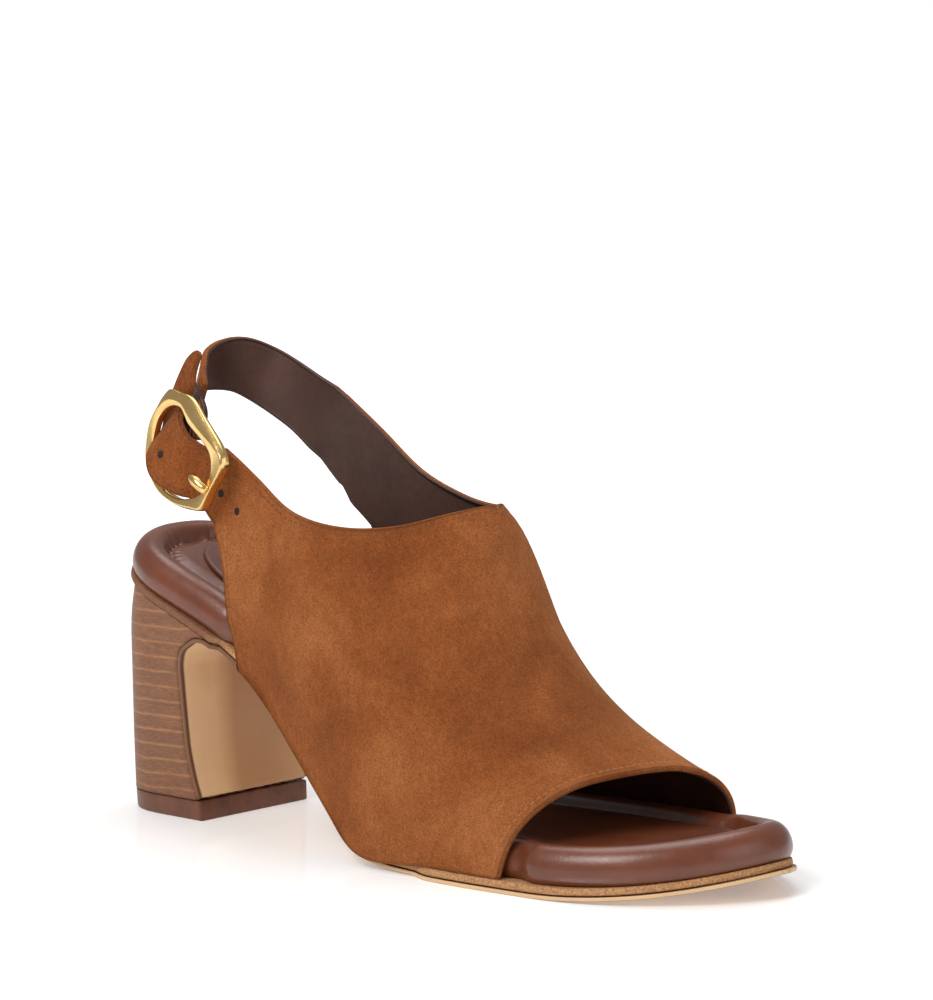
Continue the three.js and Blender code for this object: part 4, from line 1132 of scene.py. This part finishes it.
def sew_upper(points, normals, numbers, marks):
    """Rows of stitches inside every edge of the suede, and three of the same rows seen from the lining side.
    """
    body, tab, sling = numbers
    paths = [
        inside_edge(points, normals, body, (marks[0][0] + 4, marks[0][1]), EDGE_STITCH),
        inside_edge(points, normals, body, (marks[2][0] + 3, marks[3][1] - 3), EDGE_STITCH),
        inside_edge(points, normals, body, (marks[5][0], marks[5][1] - 4), EDGE_STITCH),
        inside_edge(points, normals, body, (5, body.shape[0] - 6), 2.1, True),
    ]
    paths += strap_edges(points, normals, sling, EDGE_STITCH)
    paths += strap_edges(points, normals, tab, 1.5, (4, 14))
    toe = paths.pop(3)
    stitches("upper_stitching", paths, THREAD, 1.3, 0.75, 0.17)
    stitches("toe_stitching", [toe], TOE_THREAD, 1.6, 0.7, 0.2)
    inner = [(p - n * UPPER_WALL, -n) for p, n in [paths[1], *paths[3:5]]]
    stitches("lining_stitching", inner, DARK_THREAD, 1.3, 0.75, 0.16)


# place on the suede and the direction it faces there
PIN_HOLES = np.array([
    (63.6, -32.9, 96.6, 0.05, -1.0, 0.05), (57.5, -33.25, 101.4, 0.13, -0.99, 0.05),
    (38.45, -39.08, 111.9, 0.11, -0.95, 0.28),
])
HOLE_RADIUS = 1.15
HOLE_LIFT = 0.16
HOLE_DEPTH = 0.6


def pin_holes():
    """Three round punched holes for the buckle's pin: slightly sunk discs with a soft rim, dark as painted
    shade for the inside of each hole.
    """
    angle = np.linspace(0, 2 * np.pi, 19)[:-1]
    points, faces = [], []
    for row in PIN_HOLES:
        normal = unit(row[3:])
        right = unit(np.cross([0.0, 0.0, 1.0], normal))
        up = np.cross(normal, right)
        start = len(points) * 3 * len(angle)
        circle = right * np.cos(angle)[:, None] * 0.85 + up * np.sin(angle)[:, None]
        steps = (HOLE_RADIUS, HOLE_LIFT), (HOLE_RADIUS * 0.5, HOLE_LIFT), (HOLE_RADIUS, -HOLE_DEPTH)
        rings = [row[:3] + circle * radius + normal * lift for radius, lift in steps]
        points.append(np.vstack(rings))
        count = len(angle)
        inner = [start + count + k for k in range(count)]
        faces.append(inner)
        for k in range(count):
            after = (k + 1) % count
            faces.append([start + k, start + after, start + count + after, start + count + k])
            faces.append([start + 2 * count + k, start + 2 * count + after, start + after, start + k])
        faces.append([start + 2 * count + k for k in range(count)][::-1])
    add_piece("pin_holes", np.vstack(points), faces, [PAINTED_HOLE_SHADE], slot="suede")


ELASTIC_BACK = 14
ELASTIC_SHARE = 0.8
ELASTIC_CORDS = 7
ELASTIC_THICK = 1.0
CORD_HEIGHT = 0.25


def elastic_piece(sling):
    """Flat elastic with fine cords along it; it starts inside the sling, a little before its end."""
    places = sling[-ELASTIC_BACK, ::-1]
    middle = places.mean(0)
    inward = -unit(np.cross(sling[-ELASTIC_BACK + 1].mean(0) - middle, places[0] - places[-1]))
    ends = places[[0, -1]]
    share = np.linspace(0, 1, 61)[:, None]
    root = middle + (mix(ends[:1], ends[1:], share) - middle) * ELASTIC_SHARE + inward * (UPPER_WALL + CLEAR)
    centre = ruled_grid(ELASTIC, 60, root)
    rib = 0.5 + 0.5 * np.cos(np.linspace(0.5, -0.5, 61) * 2 * np.pi * ELASTIC_CORDS)
    down = np.gradient(centre, axis=0)
    out = unit(np.cross(centre[:, -1:] - centre[:, :1], down))
    lift = CORD_HEIGHT * rib[None, :, None]
    points, faces = closed_sheet(centre + out * lift, centre - out * (ELASTIC_THICK + lift))
    # the cords' height is also the finish's painted shade: darker where the cords dip
    value = np.tile(rib, len(centre))
    add_piece("elastic_ribbed", points, faces, [RIBBED], replaces=["elastic"], slot="elastic",
              colours={"rib": np.concatenate([value, value])})


# Buckle
def polar(corners, angles):
    """A closed spline through the corners, read at turns about the ring's centre."""
    dense = through(corners, np.linspace(0, 1, 4001)[:-1], True)
    angle = np.arctan2(dense[:, 1], dense[:, 0])
    order = np.argsort(angle)
    radius = np.interp(angles, angle[order], np.hypot(dense[:, 0], dense[:, 1])[order], period=2 * np.pi)
    return np.stack([np.cos(angles), np.sin(angles)], -1) * radius[:, None]


def ring_piece():
    """The band between its outer and inner corners, with a bevel ridge that wanders across it."""
    angles = np.linspace(np.pi, -np.pi, 361)[:-1]
    outer, inner = polar(RING_OUTER, angles), polar(RING_INNER, angles)
    ridge = smooth(RING_RIDGE, np.degrees(angles))[:, None]
    across = RING_SECTION[None, :, 0]
    share = np.where(across < 1, across * ridge, ridge + (across - 1) * (1 - ridge))[..., None]
    flat = mix(outer[:, None], inner[:, None], share) * RING_HALF_SIZE
    out = np.broadcast_to(RING_SECTION[None, :, 1] * RING_THICKNESS / 2, share.shape[:2])
    points = ring_place(flat[..., 0], flat[..., 1], out)
    size = len(RING_SECTION)
    faces = grid_faces(len(angles), size, 0, True).tolist()
    last = (len(angles) - 1) * size
    faces += [[last + j, last + (j + 1) % size, (j + 1) % size, j] for j in range(size)]
    add_piece("buckle_ring", points, faces, [GOLD], replaces=["buckle_frame"], slot="gold")


PIN_SIDES = 20
PIN_HALF_WIDTH = 1.5
PIN_TIP = 0.2


def tube(path, radii):
    """A round section carried along a path in front of the ring, closed at both ends."""
    along = unit(np.gradient(path, axis=0))
    across = unit(np.cross(along, RING_OUT))
    lift = np.cross(across, along)
    angle = np.linspace(0, 2 * np.pi, PIN_SIDES + 1)[:-1]
    rings = (path[:, None] + across[:, None] * (np.cos(angle)[None] * radii[:, None])[..., None]
             - lift[:, None] * (np.sin(angle)[None] * radii[:, None])[..., None])
    return loft_closed(rings)


def prong_piece():
    """The pin as a tapering tube with rounded ends."""
    t = np.linspace(0, 1, 40)
    path = through(ring_share(PRONG[:, 0], PRONG[:, 1], PRONG[:, 2]), t)
    radii = PIN_HALF_WIDTH * smooth(np.stack([np.linspace(0, 1, len(PRONG)), PRONG[:, 3]], -1), t)
    radii[[0, -1]] = PIN_TIP
    add_piece("buckle_pin", *tube(path, radii), [GOLD], replaces=["buckle_prong"], slot="gold")


welt_piece()
tap_piece()
heel_piece()
outsole_piece()
footbed_piece()
sock_piece()
upper_parts, sling_grid = upper_piece()
sew_upper(*upper_parts)
pin_holes()
elastic_piece(sling_grid)
ring_piece()
prong_piece()


# Camera, floor and light
AZIMUTH, ELEVATION = np.radians(41.2), np.radians(7.0)
DISTANCE = 1250.0
FOCAL_PIXELS = 4112.5
IMAGE_WIDTH, IMAGE_HEIGHT = 933, 1000
TARGET, TARGET_PIXEL = np.array([35.0, 0, 0]), (247.6, 808.9)
SENSOR = 36.0


def camera():
    """Looks along the photograph's direction; the target lands on its pixel without any shift."""
    level = np.cos(ELEVATION)
    back = np.array([np.sin(AZIMUTH) * level, -np.cos(AZIMUTH) * level, np.sin(ELEVATION)])
    right = np.array([np.cos(AZIMUTH), np.sin(AZIMUTH), 0])
    up = np.cross(back, right)
    over = (TARGET_PIXEL[0] - IMAGE_WIDTH / 2) / FOCAL_PIXELS * DISTANCE
    under = -(TARGET_PIXEL[1] - IMAGE_HEIGHT / 2) / FOCAL_PIXELS * DISTANCE
    place = (TARGET + back * DISTANCE - right * over - up * under + ORIGIN) * MM
    data = bpy.data.cameras.new("camera")
    data.sensor_width = SENSOR
    data.lens = FOCAL_PIXELS / IMAGE_HEIGHT * SENSOR
    data.clip_start, data.clip_end = 0.05, 50
    eye = bpy.data.objects.new("camera", data)
    matrix = np.eye(4)
    matrix[:3, 0], matrix[:3, 1], matrix[:3, 2], matrix[:3, 3] = right, up, back, place
    eye.matrix_world = Matrix(matrix.tolist())
    bpy.context.scene.collection.objects.link(eye)
    bpy.context.scene.camera = eye
    return right, back


def area_light(name, place, aim, size, power):
    """A square soft box at place (mm) that faces aim (mm)."""
    data = bpy.data.lights.new(name, "AREA")
    data.shape, data.size, data.energy = "SQUARE", size, power
    lamp = bpy.data.objects.new(name, data)
    where = Vector(((place + ORIGIN) * MM).tolist())
    towards = Vector(((aim + ORIGIN) * MM).tolist()) - where
    lamp.location = where
    lamp.rotation_mode = "QUATERNION"
    lamp.rotation_quaternion = towards.to_track_quat("-Z", "Y")
    bpy.context.scene.collection.objects.link(lamp)


FLOOR_HALF = 14.0
FLOOR_GLOSS = 0.24
# the table's own light: from and to a distance from the shoe in metres, from and to a strength
FLOOR_GLOW = dict(From_Min=0.3, From_Max=1.4, To_Min=0.3, To_Max=1.3)


def floor():
    """Wide white table: mostly matt, with a faint mirror image, and white as far as the camera sees."""
    mesh = bpy.data.meshes.new("floor")
    corners = [(x * FLOOR_HALF, y * FLOOR_HALF, 0) for x, y in ((-1, -1), (1, -1), (1, 1), (-1, 1))]
    mesh.from_pydata(corners, [], [(0, 1, 2, 3)])
    f = Finish("white table", 0.9, Base_Color=(0.96, 0.96, 0.955, 1), Specular_IOR_Level=0.0,
               Emission_Color=(1, 1, 1, 1))
    away = new_node(f.tree, "ShaderNodeVectorMath", Vector=f.place)
    away.operation = "LENGTH"
    glow = new_node(f.tree, "ShaderNodeMapRange", Value=away.outputs["Value"], **FLOOR_GLOW)
    gloss = new_node(f.tree, "ShaderNodeBsdfGlossy", Roughness=0.07)
    share = new_node(f.tree, "ShaderNodeMixShader")
    for socket, value in zip(share.inputs, (FLOOR_GLOSS, f.shader.outputs[0], gloss.outputs[0])):
        feed(f.tree, socket, value)
    feed(f.tree, f.tree.nodes["Material Output"].inputs["Surface"], share.outputs[0])
    mesh.materials.append(f.set(Emission_Strength=glow.outputs[0]))
    table = bpy.data.objects.new("floor", mesh)
    bpy.context.scene.collection.objects.link(table)


WORLD_LIGHT = 0.36
SHOE_MIDDLE = np.array([110, 0, 50])
# name, place from SHOE_MIDDLE (right, towards the camera, up), side in metres, power
LAMPS = (("key", -700, 900, 1100, 0.7, 15), ("fill", 1100, 700, 500, 0.9, 3), ("top", 0, -400, 1300, 1.0, 9))


def studio():
    """White surround, plain white to the camera and dimmer as light, and three soft boxes."""
    world = bpy.data.worlds.new("studio")
    world.use_nodes = True
    tree = world.node_tree
    seen = new_node(tree, "ShaderNodeLightPath").outputs["Is Camera Ray"]
    strength = new_node(tree, "ShaderNodeMapRange", Value=seen, To_Min=WORLD_LIGHT, To_Max=1.0)
    for socket, value in zip(tree.nodes["Background"].inputs, ((1, 1, 1, 1), strength.outputs[0])):
        feed(tree, socket, value)
    bpy.context.scene.world = world
    bpy.context.scene.view_settings.view_transform = "Standard"
    right, back = camera()
    level = unit(np.array([back[0], back[1], 0]))
    for name, over, near, high, size, power in LAMPS:
        place = SHOE_MIDDLE + right * over + level * near + np.array([0, 0, high])
        area_light(name, place, SHOE_MIDDLE, size, power)
    floor()


studio()
